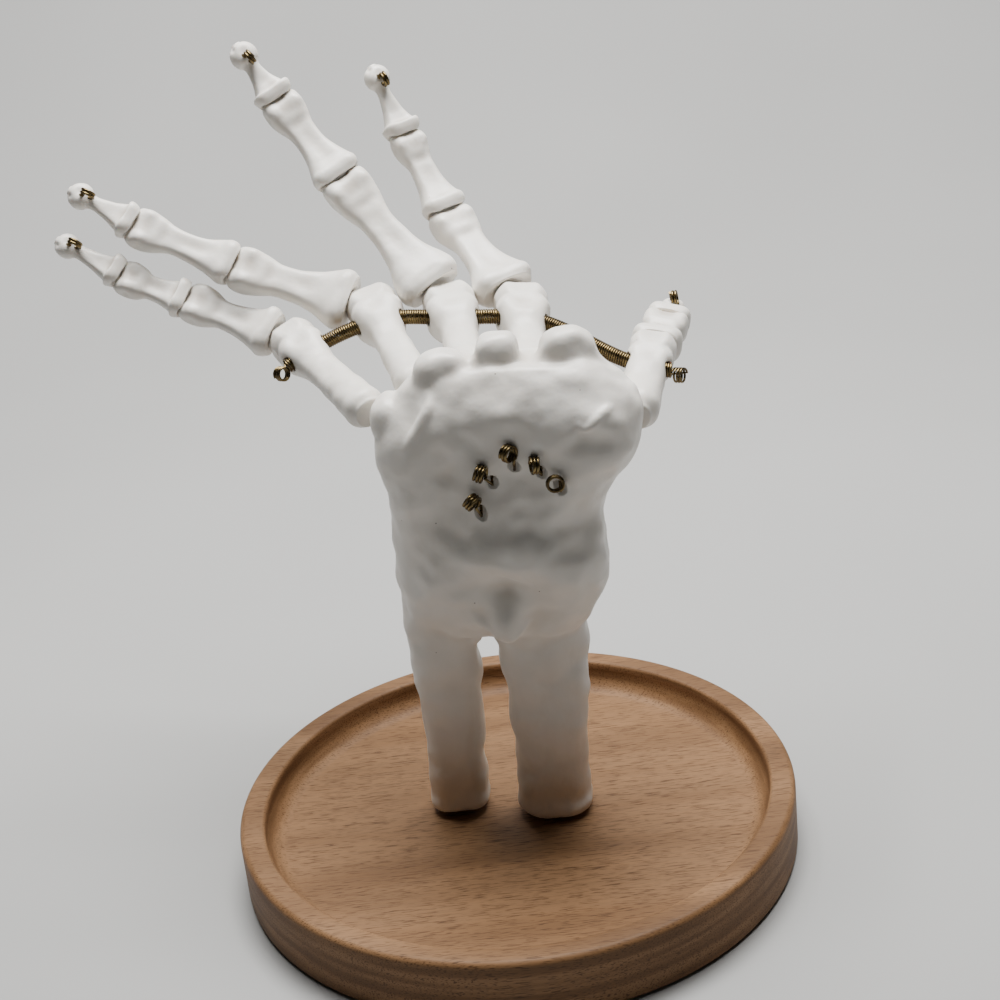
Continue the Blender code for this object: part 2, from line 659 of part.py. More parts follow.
def make_phalanx_spring(title, bone, frame, length, head, cup, last):
    """Part of the finger spring inside one phalanx; the last one ends in the fingertip loop."""
    title = title.replace("phalanx", "spring")
    start = cup + 0.6 * MM
    if not last:
        path = [frame @ Vector((0.0, 0.0, start + (length + 0.5 * head - start) * t))
                for t in (0.0, 0.5, 1.0)]
        spring_piece(title, path, [], bone)
        ends = [frame @ Vector((0.0, 0.0, 0.0)), frame @ Vector((0.0, 0.0, length + 2.0 * head))]
        cut(bone, bore(title + "_bore", ends, [FINGER_SPRING_RADIUS] * 2))
        return
    thick_end = cup + 0.25 * (length - cup)
    body = [frame @ Vector((0.0, 0.0, z)) for z in (thick_end, start)]
    bend = ((0.2, 0.0, 1.3), (0.6, 0.05, 0.85), (0.9, 0.2, 0.5), (1.0, 0.45, 0.33),
            (1.0, 0.75, TIP_LOOP_DROP))
    turn = [frame @ Vector((-TIP_LOOP_ASIDE * x, -y * head, length - z * head)) for x, y, z in bend]
    rotation = frame.to_3x3()
    surface = frame @ Vector((-TIP_LOOP_ASIDE, -head, length - TIP_LOOP_DROP * head))
    curl = loop_points(surface, -rotation.col[1], rotation.col[0], rotation.col[2],
                       TIP_LOOP_RADIUS, -TIP_LOOP_SUNK * TIP_LOOP_RADIUS)
    wire = [frame @ Vector((0.0, 0.0, thick_end + 0.8 * MM)), *turn, *curl]
    spring_piece(title, body, wire, bone)
    path = [frame @ Vector((0.0, 0.0, 0.0)), *body[::-1], *wire[:-1 - LOOP_CURLS * POINTS_PER_CURL]]
    radii = [FINGER_SPRING_RADIUS] * 3 + [FINGER_WIRE_RADIUS] * (len(path) - 3)
    cut(bone, bore(title + "_bore", path, radii))
    cut(bone, pocket(title + "_pocket", curl, rotation.col[0]))


def pocket(name, curl, across):
    """Round pocket in a fingertip that the sunken half of its loop lies in."""
    turns = curl[1:2 + LOOP_CURLS * POINTS_PER_CURL]
    centre = sum(turns, Vector()) / len(turns)
    width = LOOP_CURLS * LOOP_PITCH + 2 * (FINGER_WIRE_RADIUS + POCKET_GAP)
    reach = TIP_LOOP_RADIUS + FINGER_WIRE_RADIUS + POCKET_GAP
    bm = bmesh.new()
    bmesh.ops.create_cone(bm, cap_ends=True, segments=15, radius1=reach, radius2=reach, depth=width)
    mesh = bpy.data.meshes.new(name)
    bm.to_mesh(mesh)
    bm.free()
    frame = Matrix.Translation(centre) @ across.to_track_quat("Z", "Y").to_matrix().to_4x4()
    return add_object(name, mesh, CUTTER_COLLECTION, frame)


def cross_spring_path(fingers):
    """Centre line of the spring across the hand and the stretches of it inside the bones."""
    centres, tangents = [], []
    for name in HAND_ORDER:
        frame = fingers[name]["frame"]
        data = METACARPALS[name]
        local = Vector((0.0, -CROSS_TO_PALM, data["length"] * MM - CROSS_BELOW_KNUCKLE))
        centres.append(frame @ local)
        tangents.append(frame.to_3x3().col[0] * data["width"] * MM)
    first = centres[0] - tangents[0]
    last = centres[-1] + tangents[-1]
    return catmull([first, *centres, last], 24), centres


def make_cross_spring(fingers, bones):
    line, centres = cross_spring_path(fingers)
    widths = [METACARPALS[name]["width"] * MM for name in HAND_ORDER]
    ends = 2.2 * MM
    normal = Vector((0.0, 0.0, 1.0))
    points = []
    phase = 0.0
    lengths = [0.0]
    for a, b in zip(line, line[1:]):
        lengths.append(lengths[-1] + (b - a).length)
    total = lengths[-1]
    position, index = 0.0, 0
    step_angle = 2.0 * math.pi / POINTS_PER_CURL
    while position < total:
        while index < len(line) - 2 and lengths[index + 1] < position:
            index += 1
        share = (position - lengths[index]) / (lengths[index + 1] - lengths[index])
        centre = line[index].lerp(line[index + 1], share)
        along = (line[index + 1] - line[index]).normalized()
        normal = (normal - normal.dot(along) * along).normalized()
        side = along.cross(normal)
        hidden = any((centre - middle).length < width for middle, width in zip(centres, widths))
        pitch = CROSS_HIDDEN_PITCH if hidden else CROSS_PITCH
        taper = min(1.0, max(0.0, position - ends) / (2 * MM), max(0.0, total - ends - position) / (2 * MM))
        offset = (normal * math.cos(phase) + side * math.sin(phase)) * CROSS_COIL_RADIUS * taper
        points.append(centre + offset)
        phase += step_angle
        position += pitch / POINTS_PER_CURL
    loops = []
    for end, inner, flip in ((line[0], line[1], 1.0), (line[-1], line[-2], -1.0)):
        outward = (end - inner).normalized()
        across = Vector((0.0, -1.0, 0.0)).cross(outward).normalized() * flip
        loops.append(loop_points(end, outward, across, outward.cross(across), CROSS_LOOP_RADIUS,
                                 CROSS_WIRE_RADIUS + 2 * SEAT_GAP))
    wire = [*reversed(loops[0]), *points, *loops[1]]
    spring = tube("transverse_spring", wire, [CROSS_WIRE_RADIUS] * len(wire), PART_COLLECTION)
    spring.data.materials.append(spring_material("transverse_spring"))
    print("transverse_spring least gap to itself, mm:",
          round(least_gap(wire, CROSS_WIRE_RADIUS) / MM, 2), "curls",
          round(phase / (2 * math.pi) + 2 * LOOP_CURLS, 1))
    for (name, bone), middle, width in zip(bones.items(), centres, widths):
        near = [point for point in line if (point - middle).length < width + CROSS_BORE_REACH]
        channel = [near[(len(near) - 1) * i // 6] for i in range(7)]
        channel = [channel[0] * 2 - channel[1], *channel, channel[-1] * 2 - channel[-2]]
        radii = [CROSS_COIL_RADIUS + CROSS_WIRE_RADIUS] * len(channel)
        cut(bone, bore(name + "_transverse_bore", channel, radii), bent=True)


def make_screws():
    for name, foot in (("ulna", ULNA_FOOT), ("radius", RADIUS_FOOT)):
        screw = screw_shape(name + "_screw", foot, 0.0, PART_COLLECTION)
        screw.data.materials.append(material(name + "_screw_steel", (0.62, 0.61, 0.58), 0.35, 1.0))


def build():
    clear_scene()
    fingers = layout()
    make_tray()
    make_screws()
    wrist = make_wrist(fingers)
    bones = make_metacarpals(fingers)
    make_hand_springs(fingers, wrist, bones)
    make_cross_spring(fingers, bones)
    make_phalanges(fingers)
    bpy.context.view_layer.update()
    for name, finger in fingers.items():
        for phalanx, joint in zip(PHALANGES[name], finger["joints"]):
            print(name, phalanx[0], "joint at", [round(v, 5) for v in joint["centre"]],
                  "axis", [round(v, 4) for v in joint["axis"]])


build()
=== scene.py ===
"""Looks of the skeleton hand holder: moulded plastic bones, bronze springs and a beech tray.

Bones are modelled in millimetres in their own frames, with Z along the bone, X on its joint's
axis and +Y to the back of the hand, and then placed in the row frame in metres.
"""
import json
import math

import bmesh
import bpy
import numpy as np
from mathutils import Matrix, Vector, noise


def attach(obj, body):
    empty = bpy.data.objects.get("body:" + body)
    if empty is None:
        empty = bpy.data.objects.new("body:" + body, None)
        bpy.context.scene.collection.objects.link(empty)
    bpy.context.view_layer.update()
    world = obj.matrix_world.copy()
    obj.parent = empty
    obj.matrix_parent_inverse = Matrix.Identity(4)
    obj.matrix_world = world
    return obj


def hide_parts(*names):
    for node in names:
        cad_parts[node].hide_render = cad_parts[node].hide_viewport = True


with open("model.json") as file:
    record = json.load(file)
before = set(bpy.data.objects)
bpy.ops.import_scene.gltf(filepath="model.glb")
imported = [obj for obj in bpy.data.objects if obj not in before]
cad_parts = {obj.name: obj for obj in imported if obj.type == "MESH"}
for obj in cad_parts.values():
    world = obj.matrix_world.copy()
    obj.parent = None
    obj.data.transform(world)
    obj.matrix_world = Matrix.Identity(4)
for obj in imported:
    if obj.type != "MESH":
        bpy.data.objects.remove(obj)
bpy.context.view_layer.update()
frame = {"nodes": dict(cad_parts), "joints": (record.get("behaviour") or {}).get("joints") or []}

MM = 0.001

# Camera: place in metres, pitch and roll in degrees, lens and sensor width in mm
CAMERA_PLACE = (0.003444, -0.366926, 0.253864)
CAMERA_PITCH = 24.98
CAMERA_ROLL = -6.263
CAMERA_LENS = 72.17
SENSOR = 36.0

HAND_ORDER = ("little", "ring", "middle", "index", "thumb")

# Sizes from here on are in mm, and angles in degrees. Clearance between pieces that touch
SEAT_GAP = 0.3

# Turned tray; the rim is rounded more at its outer edge than at its inner one
TRAY_RADIUS = 60.0
TRAY_HEIGHT = 14.2
TRAY_RIM = 5.6
TRAY_DEPTH = 6.2
TRAY_COVE = 4.5
TRAY_EDGE = 1.4
TRAY_INNER_EDGE = 0.9
TRAY_SIDES = 160

# Finger springs: wire, and the coils inside the bones
FINGER_WIRE = 0.32
INNER_WIRE = 0.25
INNER_COIL_RADIUS = 0.55
TIP_COIL_RADIUS = 0.45
INNER_PITCH = 0.6
INNER_POINTS = 10

# Loops at the springs' ends, and the holes that they come out of in the palm; a fingertip's loop
# lies below the middle of the tuft and stands out of it
LOOP_PITCH = 0.66
PALM_LOOP_RADIUS = 1.55
PALM_HOLE_RADIUS = 1.35
PALM_HOLE_INWARD = (0.05, 0.8, 0.6)
TIP_LOOP_RADIUS = 1.4
TIP_LOOP_CURLS = 2.4
TIP_LOOP_AXIS = (1.0, -0.25, 0.15)
TIP_LOOP_DROP = 1.0
TIP_LOOP_OUT = 0.4

# Spring across the metacarpals: its coil, where it passes them, and the offset and axis of the
# loop at each end
CROSS_COIL_RADIUS = 1.38
CROSS_WIRE = 0.24
CROSS_PITCH = 0.5
CROSS_BORE_GAP = 0.15
CROSS_BELOW_KNUCKLE = 6.4
CROSS_TO_PALM = 1.0
CROSS_LOOP_RADIUS = 1.4
CROSS_LOOP_CURLS = 3.4
CROSS_LOOP_OUT = 0.9
CROSS_LOOPS = (((-0.4, -0.6, -1.0), (0.6, -0.75, 0.2)), ((0.6, -0.5, -0.8), (0.8, -0.55, 0.1)))

# Metacarpals: foot, length, lean and tilt, knuckle radius and half width, then half widths of the
# shaft and foot and half depth of the foot
METACARPALS = {
    "thumb": {"foot": (31.6, -3.0, 99.5), "length": 21.5, "lean": -16.6, "tilt": 76.0,
             "knuckle": 4.3, "width": 5.0, "shaft": 4.2, "foot_width": 5.0, "foot_depth": 4.8},
    "index": {"foot": (13.0, 0.5, 105.6), "length": 32.0, "lean": 1.3, "tilt": 78.0,
             "knuckle": 4.9, "width": 5.8, "shaft": 3.9, "foot_width": 5.4, "foot_depth": 4.8},
    "middle": {"foot": (1.2, 1.5, 106.2), "length": 33.6, "lean": 6.5, "tilt": 78.0,
              "knuckle": 4.9, "width": 5.8, "shaft": 3.9, "foot_width": 4.9, "foot_depth": 4.8},
    "ring": {"foot": (-9.6, 3.0, 105.7), "length": 36.6, "lean": 14.5, "tilt": 78.0,
            "knuckle": 4.9, "width": 5.7, "shaft": 3.8, "foot_width": 4.6, "foot_depth": 4.7},
    "little": {"foot": (-19.2, 4.5, 101.4), "length": 36.3, "lean": 28.0, "tilt": 78.0,
              "knuckle": 4.6, "width": 5.2, "shaft": 3.9, "foot_width": 4.9, "foot_depth": 4.8},
}

# Phalanges from the knuckle out: kind, length, lean, tilt, head radius, then half widths of the
# head, base and shaft; the last one of a finger ends in a round tuft
PHALANGES = {
    "thumb": [("proximal", 19.2, -14.5, 95.0, 3.6, 4.6, 5.3, 3.2),
              ("distal", 12.7, -14.6, 94.0, 2.8, 2.8, 4.7, 2.4)],
    "index": [("proximal", 27.4, 26.5, 58.0, 3.7, 4.6, 6.8, 3.3),
              ("middle", 20.8, 22.2, 38.0, 3.0, 3.6, 4.8, 2.6),
              ("distal", 16.6, 19.3, 28.0, 2.9, 2.9, 4.0, 1.8)],
    "middle": [("proximal", 34.8, 32.7, 42.0, 3.8, 5.0, 7.0, 3.3),
               ("middle", 23.2, 32.1, 35.0, 3.2, 4.2, 5.5, 2.8),
               ("distal", 14.7, 30.9, 25.0, 3.1, 3.1, 4.4, 1.9)],
    "ring": [("proximal", 28.9, 65.0, 45.0, 3.7, 4.6, 6.6, 3.2),
             ("middle", 24.3, 61.4, 35.0, 3.2, 4.2, 4.8, 2.6),
             ("distal", 15.6, 55.8, 25.0, 2.9, 2.9, 3.9, 1.9)],
    "little": [("proximal", 23.4, 59.3, 50.0, 3.3, 4.1, 5.4, 2.9),
               ("middle", 15.9, 63.0, 35.0, 2.9, 3.5, 4.2, 2.4),
               ("distal", 15.5, 55.4, 25.0, 2.8, 2.8, 3.5, 1.8)],
}

# Joints: how far round a head the next bone's cup reaches, the knuckle's squareness, and how far
# below its centre the cup's lip comes when the finger is bent
CUP_HALF_ANGLE = 42.0
KNUCKLE_CUP_HALF_ANGLE = 34.0
KNUCKLE_SQUARENESS = 0.68
SWEPT_BELOW_KNUCKLE = 2.4

# Palm loops: hole (x, z), the loop's centre seen from its hole, its axis and its curls
PALM_LOOPS = {
    "thumb": ((15.4, 90.4), (-1.0, -1.6, 1.6), (0.1, -0.98, 0.1), 2.2),
    "index": ((12.0, 93.6), (-1.2, -1.6, 2.2), (1.0, 0.15, -0.1), 2.6),
    "middle": ((6.9, 94.9), (-0.9, -1.6, 3.6), (0.75, -0.65, -0.1), 2.8),
    "ring": ((2.3, 91.6), (-2.1, -1.6, 2.6), (0.9, -0.3, -0.25), 2.8),
    "little": ((-0.5, 85.2), (-1.5, -1.6, 3.2), (0.7, -0.5, -0.5), 2.8),
}

# Wrist block, turned about Z so that its thumb side is nearer the viewer: height, left, right,
# front, back, squareness of the outline and depth of the palm's hollow
WRIST_TURN = -12.0
WRIST_RINGS = (
    (54.2, -17.2, 17.4, -5.0, 9.5, 0.8, 0.0),
    (56.6, -18.4, 19.4, -6.5, 10.8, 0.78, 0.0),
    (63.9, -19.2, 23.2, -9.8, 11.6, 0.76, -0.6),
    (73.6, -19.4, 24.8, -10.6, 11.8, 0.76, -0.4),
    (82.0, -18.8, 24.4, -11.0, 11.6, 0.76, 0.7),
    (89.3, -19.8, 28.0, -12.0, 11.4, 0.76, 2.6),
    (97.8, -19.8, 33.2, -13.8, 11.0, 0.74, 3.5),
    (103.8, -17.6, 33.6, -11.9, 10.6, 0.72, 1.2),
    (108.7, -14.0, 30.4, -9.2, 9.8, 0.72, 0.2),
    (112.0, -10.8, 26.8, -7.0, 8.4, 0.74, 0.0),
    (113.6, -8.6, 24.2, -5.4, 6.8, 0.78, 0.0),
)

# Forearm bones: height, centre x and y, half width and half depth
ULNA_RINGS = (
    (8.5, -11.9, 5.2, 4.8, 4.2), (9.6, -11.9, 5.2, 6.2, 5.5), (13.0, -11.9, 5.1, 6.3, 5.5),
    (20.0, -11.9, 4.8, 6.2, 5.3), (34.0, -11.7, 4.2, 6.5, 5.4), (46.0, -11.6, 3.6, 7.3, 5.8),
    (56.0, -11.4, 3.2, 7.9, 6.1), (66.0, -11.4, 3.0, 7.8, 6.0),
)
RADIUS_RINGS = (
    (8.5, 8.6, 0.6, 6.2, 5.2), (9.6, 8.6, 0.6, 7.8, 6.6), (13.0, 8.7, 0.6, 7.9, 6.6),
    (20.0, 8.8, 0.7, 7.8, 6.4), (34.0, 9.0, 0.8, 8.2, 6.5), (46.0, 9.2, 0.9, 9.2, 7.0),
    (56.0, 9.3, 1.0, 9.9, 7.3), (66.0, 9.4, 1.0, 9.8, 7.3),
)

# Carpal bones in front of the metacarpals' feet, and the fork's rounded corners: centre, radii
# and squareness
CARPAL_LUMPS = (
    ((-4.8, -1.0, 110.4), (6.2, 4.0, 6.2), 0.7),
    ((6.0, -1.4, 112.0), (4.9, 3.8, 7.2), 0.56),
    ((19.4, -2.6, 110.4), (6.4, 4.2, 8.8), 0.64),
    ((-16.0, 1.5, 102.6), (4.4, 5.0, 5.2), 0.9),
    ((28.6, -5.0, 102.4), (4.8, 5.0, 6.0), 0.9),
    ((-4.6, 2.0, 52.8), (1.9, 4.0, 2.6), 1.0),
    ((0.6, 2.0, 52.8), (2.0, 4.0, 2.9), 1.0),
)

# Meshes: points round each kind of piece, steps along them and the grain of the wrist's skin
PHALANX_POINTS, PHALANX_STEP = 44, 0.42
METACARPAL_POINTS, METACARPAL_STEP = 48, 0.45
FOREARM_POINTS, WRIST_POINTS, WRIST_STEP = 48, 72, 1.2
WRIST_VOXEL = 0.55

# Swells and hollows of the palm side: place (x, z), half sizes and height
PALM_DABS = (
    (3.0, 75.2, 9.0, 3.6, 2.8), (12.0, 71.0, 5.0, 4.2, 1.8), (2.4, 67.4, 5.4, 3.2, -3.0),
    (2.9, 58.6, 3.2, 3.6, 3.4), (-3.5, 62.5, 3.5, 3.2, -0.9), (9.5, 61.0, 3.5, 3.4, -1.1),
    (-12.5, 86.0, 5.0, 9.0, 0.9), (-6.5, 93.0, 3.2, 8.0, -0.9), (-7.5, 80.0, 4.0, 6.0, -0.7),
    (-12.5, 104.5, 2.6, 4.5, -0.8), (8.4, 92.0, 8.0, 6.5, -0.9), (6.0, 106.0, 12.0, 3.2, 0.5),
    (24.5, 103.5, 4.5, 3.2, 1.0), (22.5, 99.6, 4.5, 2.6, -1.1), (27.5, 93.0, 4.0, 6.0, 0.7),
    (19.5, 84.0, 4.5, 6.0, -1.0), (20.0, 71.0, 4.5, 6.0, 0.8), (-14.0, 66.0, 5.0, 6.0, 0.5),
)
DAB_DEPTH = 7.0

# Crisp ridges and grooves there: half width, height and path (x, z)
PALM_RIDGES = (
    (0.9, 0.8, ((-8.3, 110.5), (-8.0, 108.3), (-10.2, 104.2), (-13.9, 99.3))),
    (0.8, 0.6, ((19.4, 104.6), (20.7, 103.0), (24.6, 105.5), (26.6, 106.7))),
    (0.8, 0.5, ((-6.0, 63.5), (-2.2, 59.0), (2.9, 56.6), (8.0, 60.5))),
)

# Lights: name, place and target in metres, size, power in watts and colour
LIGHTS = (
    ("overhead", (0.03, 0.15, 0.62), (0.0, 0.04, 0.0), (0.42, 0.36), 9.6, (1.0, 0.99, 0.97)),
    ("backdrop_light", (0.0, 0.22, 0.95), (0.0, 0.95, 0.3), (0.9, 0.3), 7.0, (1.0, 0.99, 0.98)),
)
WORLD_STRENGTH = 0.03

# Floor in metres: columns, front edge, where it starts to rise, radius and angle of the rise,
# and how far back and up the backdrop goes on
FLOOR_COLUMNS = (-2.5, -0.8, 0.8, 2.5)
FLOOR_FRONT = -2.2
FLOOR_RISE = 0.32
FLOOR_RADIUS = 0.3
FLOOR_ANGLE = 72.0
BACKDROP_REACH = (0.45, 1.4)


def hermite(knots, values, samples):
    """Smooth curve through values at knots, read at samples."""
    slopes = np.gradient(values, knots, axis=0)
    place = np.clip(np.searchsorted(knots, samples, side="right") - 1, 0, len(knots) - 2)
    span = knots[place + 1] - knots[place]
    t = ((samples - knots[place]) / span)[:, None]
    a, b = values[place], values[place + 1]
    ma, mb = slopes[place] * span[:, None], slopes[place + 1] * span[:, None]
    return ((2 * t**3 - 3 * t**2 + 1) * a + (t**3 - 2 * t**2 + t) * ma
            + (-2 * t**3 + 3 * t**2) * b + (t**3 - t**2) * mb)


def smooth_path(points, step):
    """Points at an even step along a smooth curve through the given ones."""
    points = np.array([tuple(p) for p in points], float)
    knots = np.concatenate(([0.0], np.cumsum(np.linalg.norm(np.diff(points, axis=0), axis=1))))
    dense = hermite(knots, points, np.linspace(0.0, knots[-1], 400))
    lengths = np.concatenate(([0.0], np.cumsum(np.linalg.norm(np.diff(dense, axis=0), axis=1))))
    places = np.linspace(0.0, lengths[-1], max(2, int(lengths[-1] / step) + 1))
    return np.stack([np.interp(places, lengths, dense[:, k]) for k in range(3)], axis=1)


def power(values, exponent):
    return np.sign(values) * np.abs(values) ** exponent


def rows_of(stations, step):
    """Stations (z, half width, half depth, ...) read at an even step along their outline."""
    table = np.array(stations, float)
    moves = np.diff(table[:, :3], axis=0)
    knots = np.concatenate(([0.0], np.cumsum(np.linalg.norm(moves, axis=1) + 0.05)))
    count = max(8, int(knots[-1] / step))
    return hermite(knots, table, np.linspace(0.0, knots[-1], count))


def bone_ring(row, columns):
    """Ring of a bone: z, half width and depth, y shift, squareness, palm flatness and hollow."""
    z, wide, deep, shift, square, flat, hollow = row
    angle = 2.0 * np.pi * (np.arange(columns) + 0.5) / columns
    x = wide * power(np.cos(angle), square)
    y = deep * power(np.sin(angle), square)
    palm = y < 0.0
    inside = np.clip(1.0 - (x / (0.75 * wide)) ** 2, 0.0, 1.0)
    y = np.where(palm, y * flat + hollow * inside * np.minimum(1.0, -y / (0.5 * deep)), y)
    return np.stack([x, y + shift, np.full(columns, z)], axis=1)


def cap_rows(ring, outward, edge, rings=7):
    """Rings that close a tube with a rounded edge and a flat middle."""
    centre = ring.mean(axis=0)
    size = np.linalg.norm(ring - centre, axis=1).mean()
    rows = []
    for angle in (30.0, 60.0, 90.0):
        sine, cosine = math.sin(math.radians(angle)), math.cos(math.radians(angle))
        shrink = 1.0 - edge * (1.0 - cosine) / size
        rows.append(centre + (ring - centre) * shrink + outward * edge * sine)
    last = rows[-1]
    middle = last.mean(axis=0)
    for k in range(1, rings):
        rows.append(middle + (last - middle) * (1.0 - k / rings))
    return rows


def skin(rows):
    """Vertices and faces of a closed tube through rows of points, with a fan at each end."""
    rows = np.array(rows)
    count, columns = rows.shape[:2]
    verts = np.concatenate([rows.reshape(-1, 3), rows[:1].mean(axis=1), rows[-1:].mean(axis=1)])
    faces = []
    for r in range(count - 1):
        for c in range(columns):
            d = (c + 1) % columns
            a, b = r * columns, (r + 1) * columns
            faces.append((a + c, a + d, b + d, b + c))
    first, last = count * columns, count * columns + 1
    top = (count - 1) * columns
    for c in range(columns):
        d = (c + 1) % columns
        faces.append((d, c, first))
        faces.append((top + c, top + d, last))
    return verts, faces


def add_object(name, data):
    obj = bpy.data.objects.new(name, data)
    bpy.context.scene.collection.objects.link(obj)
    return obj


def mesh_object(name, verts, faces):
    """Object with smooth shading from points and faces."""
    mesh = bpy.data.meshes.new(name)
    mesh.from_pydata([tuple(v) for v in np.asarray(verts, float)], [], faces)
    bm = bmesh.new()
    bm.from_mesh(mesh)
    bmesh.ops.recalc_face_normals(bm, faces=bm.faces)
    bm.to_mesh(mesh)
    bm.free()
    mesh.shade_smooth()
    return add_object(name, mesh)


def place_mesh(obj, matrix):
    """Millimetre mesh in a bone's frame, moved to its place in the row frame in metres."""
    obj.data.transform(matrix @ Matrix.Scale(MM, 4))


def points_of(obj):
    co = np.empty(len(obj.data.vertices) * 3, np.float32)
    obj.data.vertices.foreach_get("co", co)
    return co.reshape(-1, 3).astype(float)


def normals_of(obj):
    no = np.empty(len(obj.data.vertices) * 3, np.float32)
    obj.data.vertex_normals.foreach_get("vector", no)
    return no.reshape(-1, 3).astype(float)


def set_points(obj, points):
    obj.data.vertices.foreach_set("co", points.astype(np.float32).ravel())
    obj.data.update()


def both_sides(place, radius, height):
    """The same dab to the right and to the left of a bone."""
    x, y, z = place
    return [((x, y, z), radius, height), ((-x, y, z), radius, height)]


def sculpt(obj, dabs):
    """Moves vertices near each dab (place, radius, height) in or out along their normals."""
    points, normals = points_of(obj), normals_of(obj)
    moved = points.copy()
    for place, radius, height in dabs:
        distance = np.linalg.norm((points - np.array(place)) / np.array(radius), axis=1)
        moved += normals * (height * np.exp(-distance**2))[:, None]
    set_points(obj, moved)


def sculpt_line(obj, path, width, height):
    """Raises a ridge or sinks a groove along a smooth path on the surface."""
    path = smooth_path(path, 0.4)
    points, normals = points_of(obj), normals_of(obj)
    lowest, highest = path.min(axis=0) - 3 * width, path.max(axis=0) + 3 * width
    near = np.where(((points > lowest) & (points < highest)).all(axis=1))[0]
    if not len(near):
        return
    distance = np.linalg.norm(points[near, None] - path[None], axis=2)
    closest = distance.argmin(axis=1)
    ends = np.minimum(closest, len(path) - 1 - closest) / max(1.0, 0.25 * len(path))
    strength = height * np.exp(-(distance.min(axis=1) / width) ** 2) * np.minimum(1.0, ends)
    points[near] += normals[near] * strength[:, None]
    set_points(obj, points)


def lumpy(obj, scale, height, seed):
    """Low uneven swells of a hand-finished mould."""
    points, normals = points_of(obj), normals_of(obj)
    swell = np.array([noise.noise(Vector(p / scale) + Vector((seed, 0.0, 0.0))) for p in points])
    set_points(obj, points + normals * (height * swell)[:, None])


def apply_modifiers(obj):
    graph = bpy.context.evaluated_depsgraph_get()
    mesh = bpy.data.meshes.new_from_object(obj.evaluated_get(graph))
    obj.modifiers.clear()
    old = obj.data
    obj.data = mesh
    bpy.data.meshes.remove(old)
    obj.data.shade_smooth()


def relax(obj, factor, times):
    modifier = obj.modifiers.new("relax", "SMOOTH")
    modifier.factor = factor
    modifier.iterations = times
    apply_modifiers(obj)


def fuse(obj, voxel):
    """One even skin over the shapes that overlap in a mesh."""
    modifier = obj.modifiers.new("fuse", "REMESH")
    modifier.mode = "VOXEL"
    modifier.voxel_size = voxel
    apply_modifiers(obj)


def bore(obj, cutters):
    """Cuts the cutters' shapes out of a mesh."""
    tools = bpy.data.collections.new("cutters")
    bpy.context.scene.collection.children.link(tools)
    for cutter in cutters:
        tools.objects.link(cutter)
    modifier = obj.modifiers.new("bore", "BOOLEAN")
    modifier.operation = "DIFFERENCE"
    modifier.operand_type = "COLLECTION"
    modifier.collection = tools
    apply_modifiers(obj)
    for cutter in cutters:
        bpy.data.objects.remove(cutter, do_unlink=True)
    bpy.data.collections.remove(tools)


def direction(lean, tilt):
    """Unit vector that leans to the little finger's side and tilts to the back, in degrees."""
    lean, tilt = math.radians(lean), math.radians(tilt)
    return Vector((-math.sin(lean), math.cos(lean) * math.sin(tilt),
                   math.cos(lean) * math.cos(tilt)))


def bone_frame(origin, along, across):
    """Frame with Z along the bone, X across it on its joint's axis and +Y to the back."""
    z = along.normalized()
    x = (across - across.dot(z) * z).normalized()
    rotation = Matrix((x, z.cross(x), z)).transposed().to_4x4()
    return Matrix.Translation(origin) @ rotation


def layout():
    """Frames of the metacarpals and of the phalanges, whose joints are the frame's own."""
    joints = {joint["child"]: Vector(joint["pos_m"]) for joint in frame["joints"]}
    knuckles = {}
    for name, data in METACARPALS.items():
        along = direction(data["lean"], data["tilt"])
        knuckles[name] = Vector(data["foot"]) * MM + along * data["length"] * MM
    fingers = {}
    for i, name in enumerate(HAND_ORDER):
        data = METACARPALS[name]
        across = knuckles[HAND_ORDER[min(i + 1, 4)]] - knuckles[HAND_ORDER[max(i - 1, 0)]]
        foot = Vector(data["foot"]) * MM
        hand = bone_frame(foot, knuckles[name] - foot, across)
        axis = hand.to_3x3().col[0].copy()
        bones = []
        for phalanx in PHALANGES[name]:
            origin = joints[name + "_" + phalanx[0]]
            bones.append(bone_frame(origin, direction(phalanx[2], phalanx[3]), axis))
            axis = bones[-1].to_3x3().col[0].copy()
        fingers[name] = {"hand": hand, "bones": bones}
    return fingers


def ball_radius(name):
    """Radius of the ball that the first phalanx's cup fits."""
    data = METACARPALS[name]
    corner = math.cos(math.radians(45.0)) ** KNUCKLE_SQUARENESS
    return max(data["width"], math.hypot(data["width"], data["knuckle"]) * corner)


